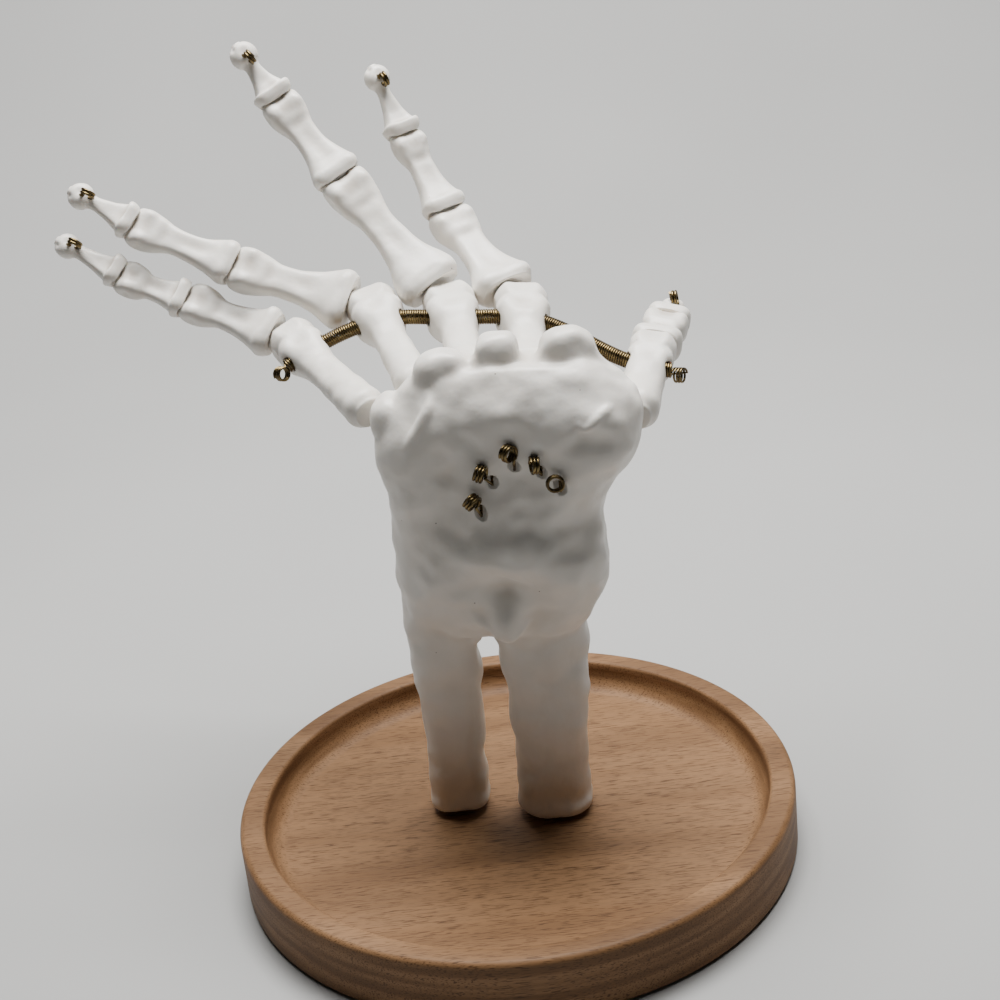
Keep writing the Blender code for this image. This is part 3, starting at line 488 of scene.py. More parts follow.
def make_phalanx(name, length, head, head_width, base, shaft, cup, first, last, seed):
    """Phalanx in its own frame: flared cupped base, waisted shaft and two condyles or a tuft."""
    half_angle = math.radians(KNUCKLE_CUP_HALF_ANGLE if first else CUP_HALF_ANGLE)
    base_depth = cup * math.sin(half_angle) + 1.0
    rim = cup * math.cos(half_angle) - 0.1
    span = length - cup
    depth = 0.92 * shaft
    stations = [
        (rim + 0.35, 0.88 * base, base_depth - 0.35, 0.0, 0.74, 0.97, 0.0),
        (rim + 1.3, 0.97 * base, base_depth, 0.0, 0.72, 0.97, 0.0),
        (rim + 2.7, base, base_depth + 0.2, 0.0, 0.72, 0.95, 0.0),
        (cup + 0.14 * span, 0.88 * base + 0.1 * shaft, 0.95 * base_depth, 0.0, 0.76, 0.9, 0.2),
        (cup + 0.30 * span, 0.36 * base + 0.68 * shaft, 0.40 * base_depth + 0.62 * depth, 0.1,
         0.8, 0.86, 0.45),
        (cup + 0.54 * span, 1.1 * shaft, depth, 0.15, 0.8, 0.88, 0.45),
    ]
    if last:
        stations[-1] = (cup + 0.52 * span, 1.05 * shaft, depth, 0.0, 0.9, 0.9, 0.25)
        for angle in (-52.0, -30.0, 0.0, 30.0, 52.0, 68.0):
            sine, cosine = math.sin(math.radians(angle)), math.cos(math.radians(angle))
            wide = head * cosine
            stations.append((length + head * sine, wide, wide, 0.0, 1.0, 1.0, 0.0))
        edge = 0.25
    else:
        stations.append((cup + 0.74 * span - 0.3 * head, 0.5 * shaft + 0.42 * head_width,
                         0.5 * depth + 0.38 * head, 0.05, 0.8, 0.9, 0.35))
        stations.append((length - 0.85 * head, 0.98 * head_width, 0.86 * head, 0.0,
                         0.64, 0.97, 0.1))
        for angle, wide in ((-12.0, 1.05), (15.0, 1.05), (38.0, 1.03), (56.0, 0.98), (68.0, 0.92)):
            sine, cosine = math.sin(math.radians(angle)), math.cos(math.radians(angle))
            stations.append((length + head * sine, head_width * wide, head * cosine, 0.0,
                             0.58, 1.0, 0.0))
        edge = 0.3
    rings = [bone_ring(row, PHALANX_POINTS) for row in rows_of(stations, PHALANX_STEP)]
    up = np.array((0.0, 0.0, 1.0))
    rows = [*reversed(cap_rows(rings[0], -up, 0.3, 9)), *rings, *cap_rows(rings[-1], up, edge)]
    verts, faces = skin(rows)
    if not last:
        reach = verts[:, 1:] - np.array((0.0, length))
        blend = np.clip((verts[:, 2] - length + 1.2 * head) / head, 0.0, 1.0)
        middle = np.exp(-(verts[:, 0] / (0.42 * head_width)) ** 2)
        groove = 0.17 * middle * blend**2 * (3 - 2 * blend)
        verts[:, 1:] = np.array((0.0, length)) + reach * (1.0 - groove)[:, None]
    obj = mesh_object(name, verts, faces)
    dabs = both_sides((0.72 * base, -0.7 * base_depth, rim + 1.6), 1.5, 0.35)
    dabs.append(((0.0, -base_depth, rim + 2.6), (2.2, 1.4, 1.0), -0.3))
    if last:
        dabs.append(((0.0, -0.95 * head, length + 0.1), (1.5, 1.2, 1.7), -0.75))
        dabs.append(((-0.55 * head, -0.45 * head, length + 0.75 * head), (0.55, 0.9, 1.3), -0.45))
    else:
        side, low = 0.75 * head_width, length - 0.1 * head
        dabs.append(((0.0, -0.85 * head, length - 1.5 * head), (0.7 * head_width, 1.5, 1.3), -0.4))
        dabs.append(((0.0, -depth, cup + 0.42 * span), (0.5 * shaft, 2.0, 0.22 * span), -0.25))
        dabs += both_sides((side, -0.85 * head, low), (1.0, 1.2, 1.2), 0.4)
        dabs += both_sides((head_width, 0.0, low), 1.0, -0.35)
    sculpt(obj, dabs)
    lumpy(obj, 4.5, 0.18, seed)
    fit_joints(obj, length, head, cup, first, last)
    return obj


def fit_joints(obj, length, head, cup, first, last):
    """Keeps a phalanx's cup and head clear of the bones that turn in and on them."""
    points = points_of(obj)
    low = points[:, 2] < cup + 0.6
    across = 1.0 if first else 0.0
    away = np.linalg.norm(points * np.array((across, 1.0, 1.0)), axis=1)
    push = np.where(low & (away < cup), cup / np.maximum(away, 1e-6), 1.0)
    points[:, 1:] *= push[:, None]
    if first:
        points[:, 0] *= push
    if not last:
        reach = points[:, 1:] - np.array((0.0, length))
        away = np.hypot(reach[:, 0], reach[:, 1])
        limit = head + np.maximum(0.0, -0.35 * head - reach[:, 1])
        shrink = np.where(reach[:, 1] > -head, np.minimum(1.0, limit / away), 1.0)
        points[:, 1:] = np.array((0.0, length)) + reach * shrink[:, None]
    set_points(obj, points)


def make_metacarpal(name, data, seed):
    """Metacarpal in its own frame: broad foot, waisted shaft and a squared knuckle."""
    length, knuckle, width = data["length"], data["knuckle"], data["width"]
    shaft, foot, foot_depth = data["shaft"], data["foot_width"], data["foot_depth"]
    depth = 0.96 * shaft
    thin, full = length - 2.3 * knuckle, length - 0.75 * knuckle
    stations = [
        (-3.0, 0.80 * foot, 0.80 * foot_depth, 0.0, 0.9, 1.0, 0.0),
        (-1.2, foot, foot_depth, 0.0, 0.85, 1.0, 0.0),
        (2.5, foot, foot_depth, -0.1, 0.85, 1.0, 0.0),
        (0.28 * length, 0.5 * (foot + shaft), 0.5 * (foot_depth + depth), 0.0, 0.88, 0.97, 0.1),
        (0.48 * length, shaft, depth, 0.0, 0.9, 0.95, 0.3),
        (thin, shaft, depth, 0.0, 0.88, 0.96, 0.2),
        (0.5 * (thin + full), 0.84 * width, 0.94 * knuckle, 0.0, 0.7, 1.0, 0.0),
        (full, width, knuckle, 0.0, 0.58, 1.0, 0.0),
    ]
    for angle, wide in ((0.0, 1.0), (26.0, 1.0), (46.0, 0.97), (60.0, 0.9), (68.0, 0.82)):
        sine, cosine = math.sin(math.radians(angle)), math.cos(math.radians(angle)) ** 0.6
        stations.append((length + knuckle * sine, width * wide, knuckle * cosine, 0.0,
                         0.55, 1.0, 0.0))
    rings = [bone_ring(row, METACARPAL_POINTS) for row in rows_of(stations, METACARPAL_STEP)]
    up = np.array((0.0, 0.0, 1.0))
    rows = [*reversed(cap_rows(rings[0], -up, 0.6, 4)), *rings, *cap_rows(rings[-1], up, 0.4)]
    verts, faces = skin(rows)
    obj = mesh_object(name + "_bone", verts, faces)
    dabs = [((0.0, -0.9 * knuckle, length + 0.4 * knuckle), (2.2, 3.0, 2.6), -0.3),
            ((0.0, -knuckle, length - 5.2), (2.4, 2.0, 2.2), -0.5),
            *both_sides((0.8 * width, -0.85 * knuckle, length + 0.3), (1.7, 2.0, 2.2), 0.45),
            *both_sides((width, 0.0, length - 0.6), (1.5, 2.0, 2.0), -0.7),
            *both_sides((0.9 * width, -0.7 * knuckle, length - 3.8), (1.6, 1.6, 1.4), 0.4)]
    sculpt(obj, dabs)
    lumpy(obj, 6.0, 0.3, seed)
    lumpy(obj, 2.4, 0.08, seed + 7.0)
    centre = np.array((0.0, 0.0, length))
    reach = points_of(obj) - centre
    away = np.linalg.norm(reach, axis=1)
    limit = ball_radius(name) + 0.75 * np.maximum(0.0, -SWEPT_BELOW_KNUCKLE - reach[:, 2])
    set_points(obj, centre + reach * np.minimum(1.0, limit / away)[:, None])
    return obj


def wrist_ring(z, left, right, front, back, square, hollow, columns):
    """Outline of the wrist block at one height, with the palm's hollow in its front."""
    angle = 2.0 * np.pi * (np.arange(columns) + 0.5) / columns
    across = power(np.cos(angle), square)
    depth = power(np.sin(angle), square)
    x = 0.5 * (left + right) + 0.5 * (right - left) * across
    y = np.where(depth > 0.0, depth * back, -depth * front)
    inside = np.clip(1.0 - (across / 0.72) ** 2, 0.0, 1.0)
    y += np.where(depth < 0.0, hollow * inside * np.abs(depth), 0.0)
    c, s = math.cos(math.radians(WRIST_TURN)), math.sin(math.radians(WRIST_TURN))
    return np.stack([x * c - y * s, x * s + y * c, np.full(columns, z)], axis=1)


def forearm_ring(z, x, y, wide, deep, columns):
    angle = 2.0 * np.pi * (np.arange(columns) + 0.5) / columns
    return np.stack([x + wide * power(np.cos(angle), 0.85), y + deep * power(np.sin(angle), 0.85),
                     np.full(columns, z)], axis=1)


def lump(centre, radii, square, segments=28, rings=18):
    """Points and faces of a rounded block."""
    rows = []
    for k in range(rings):
        polar = math.pi * (k + 0.5) / rings
        angle = 2.0 * np.pi * np.arange(segments) / segments
        across, height = math.sin(polar) ** square, float(power(math.cos(polar), square))
        rows.append(np.stack([centre[0] + radii[0] * across * power(np.cos(angle), square),
                              centre[1] + radii[1] * across * power(np.sin(angle), square),
                              np.full(segments, centre[2] - radii[2] * height)], axis=1))
    return skin(rows)


def front_point(obj, x, z, unit=1.0):
    """Point on the palm side, in mm, of a mesh whose own unit is given in mm."""
    obj.data.update()
    bpy.context.view_layer.update()
    return obj.ray_cast(Vector((x, -100.0, z)) * unit, Vector((0.0, 1.0, 0.0)))[1] / unit


def make_wrist():
    """Carpal bones, ulna and radius as one moulding, sculpted on an even skin."""
    solids = [skin([wrist_ring(*row, WRIST_POINTS) for row in rows_of(WRIST_RINGS, WRIST_STEP)])]
    for table in (ULNA_RINGS, RADIUS_RINGS):
        rows = rows_of(table, WRIST_STEP)
        solids.append(skin([forearm_ring(*row, FOREARM_POINTS) for row in rows]))
    solids += [lump(*shape) for shape in CARPAL_LUMPS]
    verts, faces = [], []
    for points, polygons in solids:
        start = sum(len(v) for v in verts)
        verts.append(points)
        faces += [tuple(i + start for i in polygon) for polygon in polygons]
    obj = mesh_object("wrist_moulding", np.concatenate(verts), faces)
    fuse(obj, WRIST_VOXEL)
    relax(obj, 0.5, 7)
    for x, z, wide, high, height in PALM_DABS:
        sculpt(obj, [(front_point(obj, x, z), (wide, DAB_DEPTH, high), height)])
    for width, height, path in PALM_RIDGES:
        sculpt_line(obj, [front_point(obj, x, z) for x, z in path], width, height)
    lumpy(obj, 7.0, 0.7, 11.0)
    lumpy(obj, 3.6, 0.34, 23.0)
    place_mesh(obj, Matrix.Identity(4))
    return obj


def wire(name, points, radius, sides=2):
    """Round wire through points given in millimetres, as a mesh in the row frame."""
    curve = bpy.data.curves.new(name, "CURVE")
    curve.dimensions = "3D"
    curve.bevel_depth = radius * MM
    curve.bevel_resolution = sides
    curve.use_fill_caps = True
    spline = curve.splines.new("POLY")
    spline.points.add(len(points) - 1)
    for slot, point in zip(spline.points, points):
        slot.co = (point[0] * MM, point[1] * MM, point[2] * MM, 1.0)
    obj = add_object(name, curve)
    graph = bpy.context.evaluated_depsgraph_get()
    mesh = bpy.data.meshes.new_from_object(obj.evaluated_get(graph))
    bpy.data.objects.remove(obj, do_unlink=True)
    mesh.shade_smooth()
    return add_object(name, mesh)


def helix(line, coil_radius, pitch, per_curl=14):
    """Points of a coil wound round a centre line, both in millimetres."""
    line = np.array([tuple(p) for p in line], float)
    lengths = np.concatenate(([0.0], np.cumsum(np.linalg.norm(np.diff(line, axis=0), axis=1))))
    count = int(lengths[-1] / pitch * per_curl)
    places = np.linspace(0.0, lengths[-1], count)
    centres = np.stack([np.interp(places, lengths, line[:, k]) for k in range(3)], axis=1)
    tangents = np.gradient(centres, axis=0)
    tangents /= np.linalg.norm(tangents, axis=1)[:, None]
    points = []
    normal = np.array((0.0, 0.0, 1.0))
    for i, (centre, along) in enumerate(zip(centres, tangents)):
        normal = normal - normal.dot(along) * along
        normal /= np.linalg.norm(normal)
        angle = 2.0 * math.pi * i / per_curl
        points.append(centre + coil_radius * (normal * math.cos(angle)
                                              + np.cross(along, normal) * math.sin(angle)))
    return points


def loop_coil(centre, axis, radius, curls, tail, per_curl=16):
    """Curls round an axis through centre whose last stretch runs off to the tail's points."""
    axis = np.array(Vector(axis).normalized())
    start = np.array(tail[0]) - np.array(centre)
    start = start - start.dot(axis) * axis
    start = start / np.linalg.norm(start)
    side = np.cross(axis, start)
    points = []
    total = int(curls * per_curl)
    for i in range(total + 1):
        angle = 2.0 * math.pi * (total - i) / per_curl
        lift = (0.5 * total - i) / per_curl * LOOP_PITCH
        round_axis = start * math.cos(angle) + side * math.sin(angle)
        points.append(np.array(centre) + radius * round_axis - axis * lift)
    return [*points, *[np.array(p) for p in tail]]


def new_material(name):
    mat = bpy.data.materials.new(name)
    mat.use_nodes = True
    return mat, mat.node_tree, mat.node_tree.nodes["Principled BSDF"]


def ramp(tree, source, stops):
    """Colour ramp on a source socket, from (position, colour) stops."""
    node = tree.nodes.new("ShaderNodeValToRGB")
    elements = node.color_ramp.elements
    while len(elements) < len(stops):
        elements.new(0.5)
    for element, (position, colour) in zip(elements, stops):
        element.position = position
        element.color = (*colour, 1.0)
    tree.links.new(source, node.inputs["Fac"])
    return node


def grey(value):
    return (value, value, value)


def texture(tree, kind, vector, **settings):
    node = tree.nodes.new(kind)
    for key, value in settings.items():
        node.inputs[key].default_value = value
    tree.links.new(vector, node.inputs["Vector"])
    return node


def noise_texture(tree, vector, scale, detail=2.0, rough=0.5):
    return texture(tree, "ShaderNodeTexNoise", vector, Scale=scale, Detail=detail, Roughness=rough)


def scaled_coordinates(tree, scale=(1.0, 1.0, 1.0)):
    """Object coordinates, stretched by a scale on each axis."""
    coordinates = tree.nodes.new("ShaderNodeTexCoord")
    mapping = tree.nodes.new("ShaderNodeMapping")
    mapping.inputs["Scale"].default_value = scale
    tree.links.new(coordinates.outputs["Object"], mapping.inputs["Vector"])
    return mapping.outputs["Vector"]


def mix(tree, factor, a, b, blend="MIX"):
    """Colour mix whose inputs are sockets, colours or numbers."""
    node = tree.nodes.new("ShaderNodeMix")
    node.data_type = "RGBA"
    node.blend_type = blend
    sockets = node.inputs["Factor"], node.inputs[6], node.inputs[7]
    for socket, value in zip(sockets, (factor, a, b)):
        if isinstance(value, bpy.types.NodeSocket):
            tree.links.new(value, socket)
        elif isinstance(value, (int, float)):
            socket.default_value = value
        else:
            socket.default_value = (*value, 1.0)
    return node.outputs[2]


def bump(tree, shader, layers):
    """Stacks bump layers (height socket, strength, distance) into the shader's normal."""
    normal = None
    for height, strength, distance in layers:
        node = tree.nodes.new("ShaderNodeBump")
        node.inputs["Strength"].default_value = strength
        node.inputs["Distance"].default_value = distance
        tree.links.new(height, node.inputs["Height"])
        if normal is not None:
            tree.links.new(normal, node.inputs["Normal"])
        normal = node.outputs["Normal"]
    tree.links.new(normal, shader.inputs["Normal"])


def bone_material():
    """Warm off-white moulded plastic with painted shade in its hollows, tiny pits and specks."""
    mat, tree, shader = new_material("bone_plastic")
    space = scaled_coordinates(tree)
    broad = noise_texture(tree, space, 90.0, 3.0)
    tone = ramp(tree, broad.outputs["Fac"],
                ((0.3, (0.76, 0.72, 0.66)), (0.7, (0.85, 0.82, 0.765))))
    # Painted shade: the cavity attribute darkens hollows and creases towards grey-brown (0.55,
    # 0.49, 0.42), standing in for the shade that falls there
    cavity = tree.nodes.new("ShaderNodeAttribute")
    cavity.attribute_name = "cavity"
    hollow = ramp(tree, cavity.outputs["Fac"], ((0.0, grey(1.0)), (0.5, grey(0.0))))
    tone_with_painted_shade = mix(tree, hollow.outputs["Color"], tone.outputs["Color"], (0.55, 0.49, 0.42))
    cells = texture(tree, "ShaderNodeTexVoronoi", space, Scale=330.0, Randomness=1.0)
    speck = ramp(tree, cells.outputs["Distance"], ((0.035, grey(1.0)), (0.06, grey(0.0))))
    scatter = noise_texture(tree, space, 210.0, 1.0)
    some = ramp(tree, scatter.outputs["Fac"], ((0.60, grey(0.0)), (0.66, grey(1.0))))
    specks = mix(tree, 1.0, speck.outputs["Color"], some.outputs["Color"], "MULTIPLY")
    final = mix(tree, specks, tone_with_painted_shade, (0.16, 0.13, 0.11))
    tree.links.new(final, shader.inputs["Base Color"])
    fine = noise_texture(tree, space, 900.0, 4.0, 0.6)
    gloss = ramp(tree, noise_texture(tree, space, 260.0, 3.0).outputs["Fac"],
                 ((0.3, grey(0.30)), (0.7, grey(0.46))))
    tree.links.new(gloss.outputs["Color"], shader.inputs["Roughness"])
    shader.inputs["Subsurface Weight"].default_value = 0.12
    shader.inputs["Subsurface Radius"].default_value = (1.0, 0.75, 0.55)
    shader.inputs["Subsurface Scale"].default_value = 0.0012
    waves = noise_texture(tree, space, 300.0, 2.0)
    bump(tree, shader, ((waves.outputs["Fac"], 0.35, 0.0004),
                        (fine.outputs["Fac"], 0.25, 0.00008)))
    return mat


def bronze_material():
    """Antique bronze wire with darker and lighter patches."""
    mat, tree, shader = new_material("spring_bronze")
    space = scaled_coordinates(tree)
    patches = noise_texture(tree, space, 300.0, 3.0)
    tone = ramp(tree, patches.outputs["Fac"],
                ((0.3, (0.09, 0.064, 0.032)), (0.55, (0.17, 0.125, 0.058)),
                 (0.75, (0.26, 0.195, 0.09))))
    tree.links.new(tone.outputs["Color"], shader.inputs["Base Color"])
    shader.inputs["Metallic"].default_value = 1.0
    gloss = ramp(tree, noise_texture(tree, space, 1500.0).outputs["Fac"],
                 ((0.3, grey(0.22)), (0.7, grey(0.40))))
    tree.links.new(gloss.outputs["Color"], shader.inputs["Roughness"])
    bump(tree, shader, ((patches.outputs["Fac"], 0.2, 0.00005),))
    return mat


def steel_material():
    mat, tree, shader = new_material("screw_steel")
    space = scaled_coordinates(tree)
    tone = ramp(tree, noise_texture(tree, space, 1200.0).outputs["Fac"],
                ((0.3, grey(0.46)), (0.7, (0.64, 0.63, 0.60))))
    tree.links.new(tone.outputs["Color"], shader.inputs["Base Color"])
    shader.inputs["Metallic"].default_value = 1.0
    shader.inputs["Roughness"].default_value = 0.36
    return mat


def beech_material():
    """Oiled beech: growth layers lie flat, and short dark rays run along the grain."""
    mat, tree, shader = new_material("beech")
    layers = noise_texture(tree, scaled_coordinates(tree, (4.0, 40.0, 420.0)), 1.0, 3.0)
    band = ramp(tree, layers.outputs["Fac"],
                ((0.40, (0.160, 0.080, 0.033)), (0.5, (0.208, 0.108, 0.047)),
                 (0.60, (0.262, 0.142, 0.066))))
    broad = noise_texture(tree, scaled_coordinates(tree, (12.0, 90.0, 14.0)), 1.0, 3.0)
    warm = ramp(tree, broad.outputs["Fac"], ((0.3, grey(0.88)), (0.7, grey(1.08))))
    toned = mix(tree, 1.0, band.outputs["Color"], warm.outputs["Color"], "MULTIPLY")
    rays = noise_texture(tree, scaled_coordinates(tree, (300.0, 5200.0, 4200.0)), 1.0, 1.0)
    ray_mask = ramp(tree, rays.outputs["Fac"], ((0.57, grey(0.0)), (0.64, grey(0.85))))
    flecked = mix(tree, ray_mask.outputs["Color"], toned, (0.075, 0.033, 0.012))
    fibres = noise_texture(tree, scaled_coordinates(tree, (160.0, 6500.0, 5200.0)), 1.0, 2.0)
    fibre_tone = ramp(tree, fibres.outputs["Fac"], ((0.35, grey(0.86)), (0.65, grey(1.06))))
    final = mix(tree, 1.0, flecked, fibre_tone.outputs["Color"], "MULTIPLY")
    tree.links.new(final, shader.inputs["Base Color"])
    gloss = ramp(tree, fibres.outputs["Fac"], ((0.3, grey(0.52)), (0.7, grey(0.66))))
    tree.links.new(gloss.outputs["Color"], shader.inputs["Roughness"])
    shader.inputs["Specular IOR Level"].default_value = 0.25
    bump(tree, shader, ((ray_mask.outputs["Color"], -0.3, 0.00008),
                        (fibres.outputs["Fac"], 0.3, 0.00006)))
    return mat


def add_cavity(obj, times, scale):
    """Stores how hollow (0) or ridged (1) the surface is at each vertex, which the bone material
    turns into painted shade in the hollows.
    """
    mesh = obj.data
    points, normals = points_of(obj), normals_of(obj)
    edges = np.empty(len(mesh.edges) * 2, np.int32)
    mesh.edges.foreach_get("vertices", edges)
    a, b = edges.reshape(-1, 2).T
    degree = np.bincount(a, minlength=len(points)) + np.bincount(b, minlength=len(points))
    soft = points.copy()
    for _ in range(times):
        total = np.stack([np.bincount(a, soft[b, k], len(points))
                          + np.bincount(b, soft[a, k], len(points)) for k in range(3)], axis=1)
        soft = 0.5 * soft + 0.5 * total / degree[:, None]
    raised = 0.5 + np.einsum("ij,ij->i", points - soft, normals) / scale
    attribute = mesh.attributes.new("cavity", "FLOAT", "POINT")
    attribute.data.foreach_set("value", np.clip(raised, 0.0, 1.0).astype(np.float32))


def dress(obj, body, node, mat):
    """Gives a piece its material and tells which body it rides and which node it stands for."""
    obj.data.materials.clear()
    obj.data.materials.append(mat)
    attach(obj, body)
    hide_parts(node)


def cross_line(fingers):
    """Centre line of the spring across the metacarpals, and where it passes each of them."""
    centres, tangents = [], []
    for name in HAND_ORDER:
        hand, data = fingers[name]["hand"], METACARPALS[name]
        local = Vector((0.0, -CROSS_TO_PALM, data["length"] - CROSS_BELOW_KNUCKLE)) * MM
        centres.append(hand @ local / MM)
        tangents.append(hand.to_3x3().col[0] * data["width"])
    ends = centres[0] - tangents[0], centres[-1] + tangents[-1]
    return smooth_path([ends[0], *centres, ends[1]], 0.5), centres


def make_hand(bone, bronze):
    fingers = layout()
    line, centres = cross_line(fingers)
    for number, name in enumerate(HAND_ORDER):
        data, finger = METACARPALS[name], fingers[name]
        obj = make_metacarpal(name, data, 3.0 * number)
        place_mesh(obj, finger["hand"])
        centre = np.array(centres[number])
        near = [p for p in line if np.linalg.norm(p - centre) < data["width"] + 6.0]
        bore(obj, [wire("bore", near, CROSS_COIL_RADIUS + CROSS_WIRE + CROSS_BORE_GAP, 6)])
        add_cavity(obj, 14, 0.0008)
        dress(obj, "root", name + "_metacarpal", bone)
        cup = ball_radius(name) + SEAT_GAP
        count = len(PHALANGES[name])
        for i, (phalanx, place) in enumerate(zip(PHALANGES[name], finger["bones"])):
            kind, length, _, _, head, head_width, base, shaft = phalanx
            title = name + "_" + kind
            first, last = i == 0, i == count - 1
            obj = make_phalanx(title + "_bone", length, head, head_width, base, shaft, cup,
                               first, last, 5.0 * number + i)
            place_mesh(obj, place)
            add_cavity(obj, 12, 0.0006)
            dress(obj, title, title + "_phalanx", bone)
            coil = make_finger_spring(title, place, length, head, cup, last)
            dress(coil, title, title + "_spring", bronze)
            cup = head + SEAT_GAP
    wrist = make_wrist()
    holes, coils = make_palm_springs(wrist)
    bore(wrist, holes)
    # Broad cavity over the wrist, so the painted shade darkens its wide hollows and creases
    add_cavity(wrist, 30, 0.002)
    dress(wrist, "root", "wrist_and_forearm", bone)
    for name, coil in coils.items():
        dress(coil, "root", name + "_spring_in_palm", bronze)
    spring = make_cross_spring(line)
    dress(spring, "root", "transverse_spring", bronze)


def make_finger_spring(title, place, length, head, cup, last):
    """Wound spring inside a phalanx; the last one comes out as the fingertip loop."""
    start = cup + 0.6
    end = start + 0.3 * (length - cup) if last else length + 0.4 * head
    line = [place @ (Vector((0.0, 0.0, z)) * MM) / MM for z in (start, end)]
    radius = TIP_COIL_RADIUS if last else INNER_COIL_RADIUS
    coil = helix(smooth_path(line, 0.5), radius, INNER_PITCH, INNER_POINTS)
    if not last:
        return wire(title + "_coil", coil, INNER_WIRE, 1)
    centre = (0.0, -0.98 * head - TIP_LOOP_OUT, length - 0.25 * head - TIP_LOOP_DROP)
    tail = [(0.0, -0.35 * head, length - 0.6 * head), (0.0, 0.0, length - head),
            (0.0, 0.0, end + 0.8)]
    local = loop_coil(centre, TIP_LOOP_AXIS, TIP_LOOP_RADIUS, TIP_LOOP_CURLS, tail)
    loop = [place @ (Vector(p) * MM) / MM for p in local]
    return wire(title + "_coil", [*loop, *reversed(coil)], FINGER_WIRE, 2)


def make_palm_springs(wrist):
    """Loops that hold the finger springs in the palm, and the holes that they come out of."""
    holes, coils = [], {}
    inward = Vector(PALM_HOLE_INWARD).normalized()
    for name, ((x, z), offset, axis, curls) in PALM_LOOPS.items():
        hole = front_point(wrist, x, z, MM)
        holes.append(wire("hole", [hole - inward * 4.0, hole + inward * 7.0], PALM_HOLE_RADIUS, 5))
        centre = hole + Vector(offset)
        tail = [hole - inward * 0.6, hole + inward * 3.0]
        points = loop_coil(centre, axis, PALM_LOOP_RADIUS, curls, tail)
        coils[name] = wire(name + "_palm_coil", points, FINGER_WIRE, 3)
    return holes, coils


def make_cross_spring(line):
    """Wound spring across the metacarpals, with a loop at each end."""
    points = helix(line, CROSS_COIL_RADIUS, CROSS_PITCH)
    ends = ((line[0], line[3], points[0]), (line[-1], line[-4], points[-1]))
    loops = []
    for (end, inner, start), (drop, axis) in zip(ends, CROSS_LOOPS):
        outward = (end - inner) / np.linalg.norm(end - inner)
        centre = end + outward * CROSS_LOOP_OUT + np.array(drop) * CROSS_LOOP_OUT
        loops.append(loop_coil(centre, axis, CROSS_LOOP_RADIUS, CROSS_LOOP_CURLS, [start]))
    return wire("cross_coil", [*loops[0], *points[1:-1], *reversed(loops[1])], CROSS_WIRE, 2)


def quarter(steps, first=0):
    """Sine and cosine at even steps of a quarter turn."""
    angles = [math.radians(90.0 * i / steps) for i in range(first, steps + 1)]
    return [(math.sin(angle), math.cos(angle)) for angle in angles]


def tray_profile():
    """Half section of the turned tray, from the middle of its floor round to its underside."""
    inner, floor = TRAY_RADIUS - TRAY_RIM, TRAY_HEIGHT - TRAY_DEPTH
    cove, small, edge = TRAY_COVE, TRAY_INNER_EDGE, TRAY_EDGE
    top, outer = TRAY_HEIGHT - edge, TRAY_RADIUS - edge
    points = [((inner - cove) * i / 12.0, floor) for i in range(12)]
    points += [(inner - cove + cove * s, floor + cove * (1.0 - c)) for s, c in quarter(8)]
    points += [(inner + 0.1 + small * (1.0 - c), TRAY_HEIGHT - small + small * s)
               for s, c in quarter(5, 1)]
    points += [(outer + edge * s, top + edge * c) for s, c in quarter(6)]
    points += [(TRAY_RADIUS, top - (TRAY_HEIGHT - 2 * edge) * i / 5.0) for i in range(1, 5)]
    points += [(outer + edge * c, edge - edge * s) for s, c in quarter(6)]
    return [*points, (0.0, 0.0)]


def make_tray(mat):
    """Turned tray, spun from its half section."""
    bm = bmesh.new()
    profile = [bm.verts.new((x * MM, 0.0, z * MM)) for x, z in tray_profile()]
    edges = [bm.edges.new(pair) for pair in zip(profile, profile[1:])]
    bmesh.ops.spin(bm, geom=[*profile, *edges], cent=(0, 0, 0), axis=(0, 0, 1),
                   angle=2.0 * math.pi, steps=TRAY_SIDES, use_duplicate=False)
    bmesh.ops.remove_doubles(bm, verts=bm.verts, dist=0.00001)
    bmesh.ops.recalc_face_normals(bm, faces=bm.faces)
    mesh = bpy.data.meshes.new("turned_tray")
    bm.to_mesh(mesh)
    bm.free()
    mesh.shade_smooth()
    mesh.set_sharp_from_angle(angle=math.radians(50.0))
    dress(add_object("turned_tray", mesh), "root", "tray", mat)


def dress_screws(mat):
    """The screws keep their own solids, with the steel on them."""
    for name in ("ulna_screw", "radius_screw"):
        node = frame["nodes"][name]
        node.data.materials.clear()
        node.data.materials.append(mat)


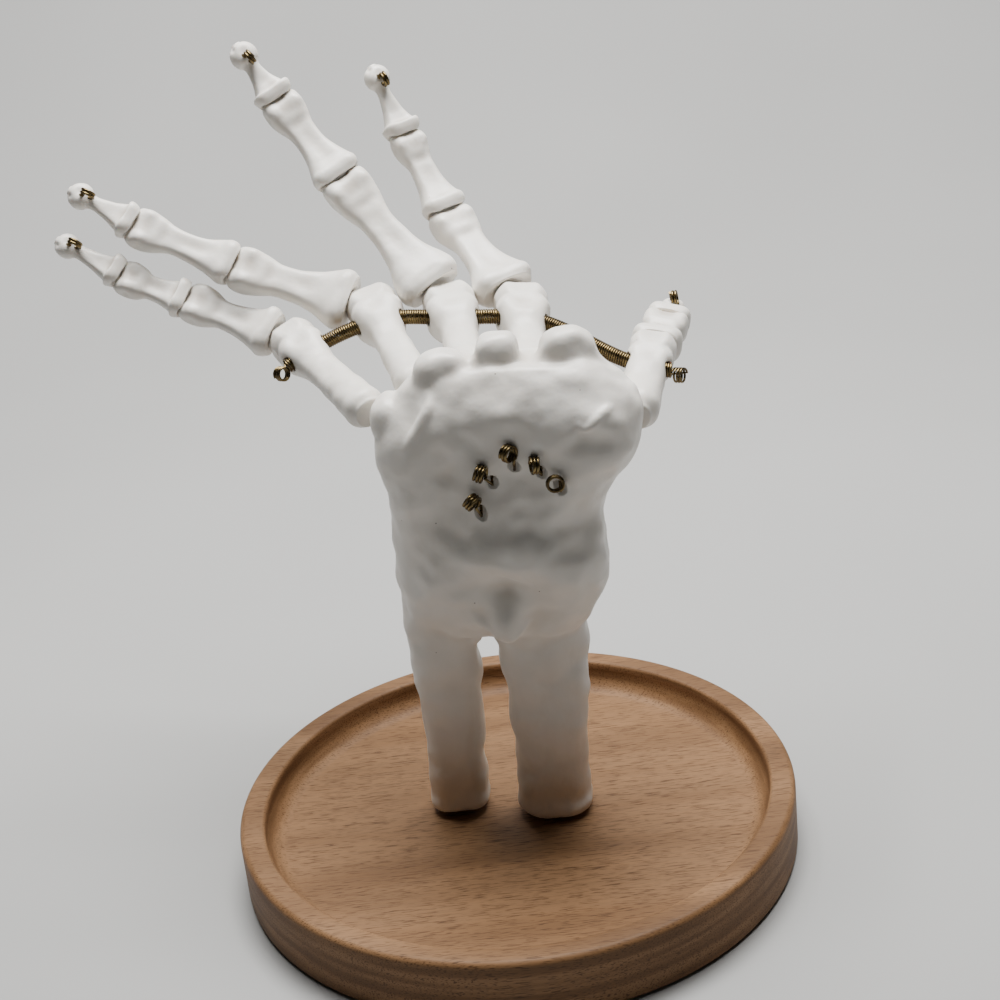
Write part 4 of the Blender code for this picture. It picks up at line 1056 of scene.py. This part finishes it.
def make_stage():
    """Pale floor that sweeps up into a backdrop."""
    bm = bmesh.new()
    profile = [(FLOOR_FRONT, 0.0), (FLOOR_RISE, 0.0)]
    for i in range(1, 13):
        angle = math.radians(FLOOR_ANGLE * i / 12)
        profile.append((FLOOR_RISE + FLOOR_RADIUS * math.sin(angle),
                        FLOOR_RADIUS * (1.0 - math.cos(angle))))
    profile.append((profile[-1][0] + BACKDROP_REACH[0], profile[-1][1] + BACKDROP_REACH[1]))
    rows = [[bm.verts.new((x, y, z)) for x in FLOOR_COLUMNS] for y, z in profile]
    for lower, upper in zip(rows, rows[1:]):
        for i in range(3):
            bm.faces.new((lower[i], lower[i + 1], upper[i + 1], upper[i]))
    mesh = bpy.data.meshes.new("floor")
    bm.to_mesh(mesh)
    bm.free()
    mesh.shade_smooth()
    floor = add_object("floor", mesh)
    mat, tree, shader = new_material("pale_floor")
    space = scaled_coordinates(tree)
    tone = ramp(tree, noise_texture(tree, space, 6.0).outputs["Fac"],
                ((0.3, (0.37, 0.37, 0.365)), (0.7, (0.40, 0.40, 0.395))))
    tree.links.new(tone.outputs["Color"], shader.inputs["Base Color"])
    shader.inputs["Roughness"].default_value = 0.75
    mesh.materials.append(mat)


def area_light(name, place, target, size, power_watts, colour):
    light = bpy.data.lights.new(name, "AREA")
    light.shape = "RECTANGLE"
    light.size, light.size_y = size
    light.energy = power_watts
    light.color = colour
    obj = add_object(name, light)
    obj.location = place
    obj.rotation_mode = "QUATERNION"
    obj.rotation_quaternion = (Vector(target) - Vector(place)).to_track_quat("-Z", "Y")


def make_lights():
    for light in LIGHTS:
        area_light(*light)
    world = bpy.data.worlds.new("studio")
    world.use_nodes = True
    background = world.node_tree.nodes["Background"]
    background.inputs["Color"].default_value = (0.95, 0.97, 1.0, 1.0)
    background.inputs["Strength"].default_value = WORLD_STRENGTH
    bpy.context.scene.world = world


def make_camera():
    camera = bpy.data.cameras.new("camera")
    camera.lens = CAMERA_LENS
    camera.sensor_width = SENSOR
    camera.clip_start, camera.clip_end = 0.01, 20.0
    obj = add_object("camera", camera)
    roll = Matrix.Rotation(math.radians(CAMERA_ROLL), 4, "Z")
    look = Matrix.Rotation(math.radians(90.0 - CAMERA_PITCH), 4, "X")
    obj.matrix_world = Matrix.Translation(CAMERA_PLACE) @ look @ roll
    bpy.context.scene.camera = obj


def build():
    make_camera()
    make_lights()
    make_stage()
    bone, bronze = bone_material(), bronze_material()
    make_tray(beech_material())
    dress_screws(steel_material())
    make_hand(bone, bronze)


build()
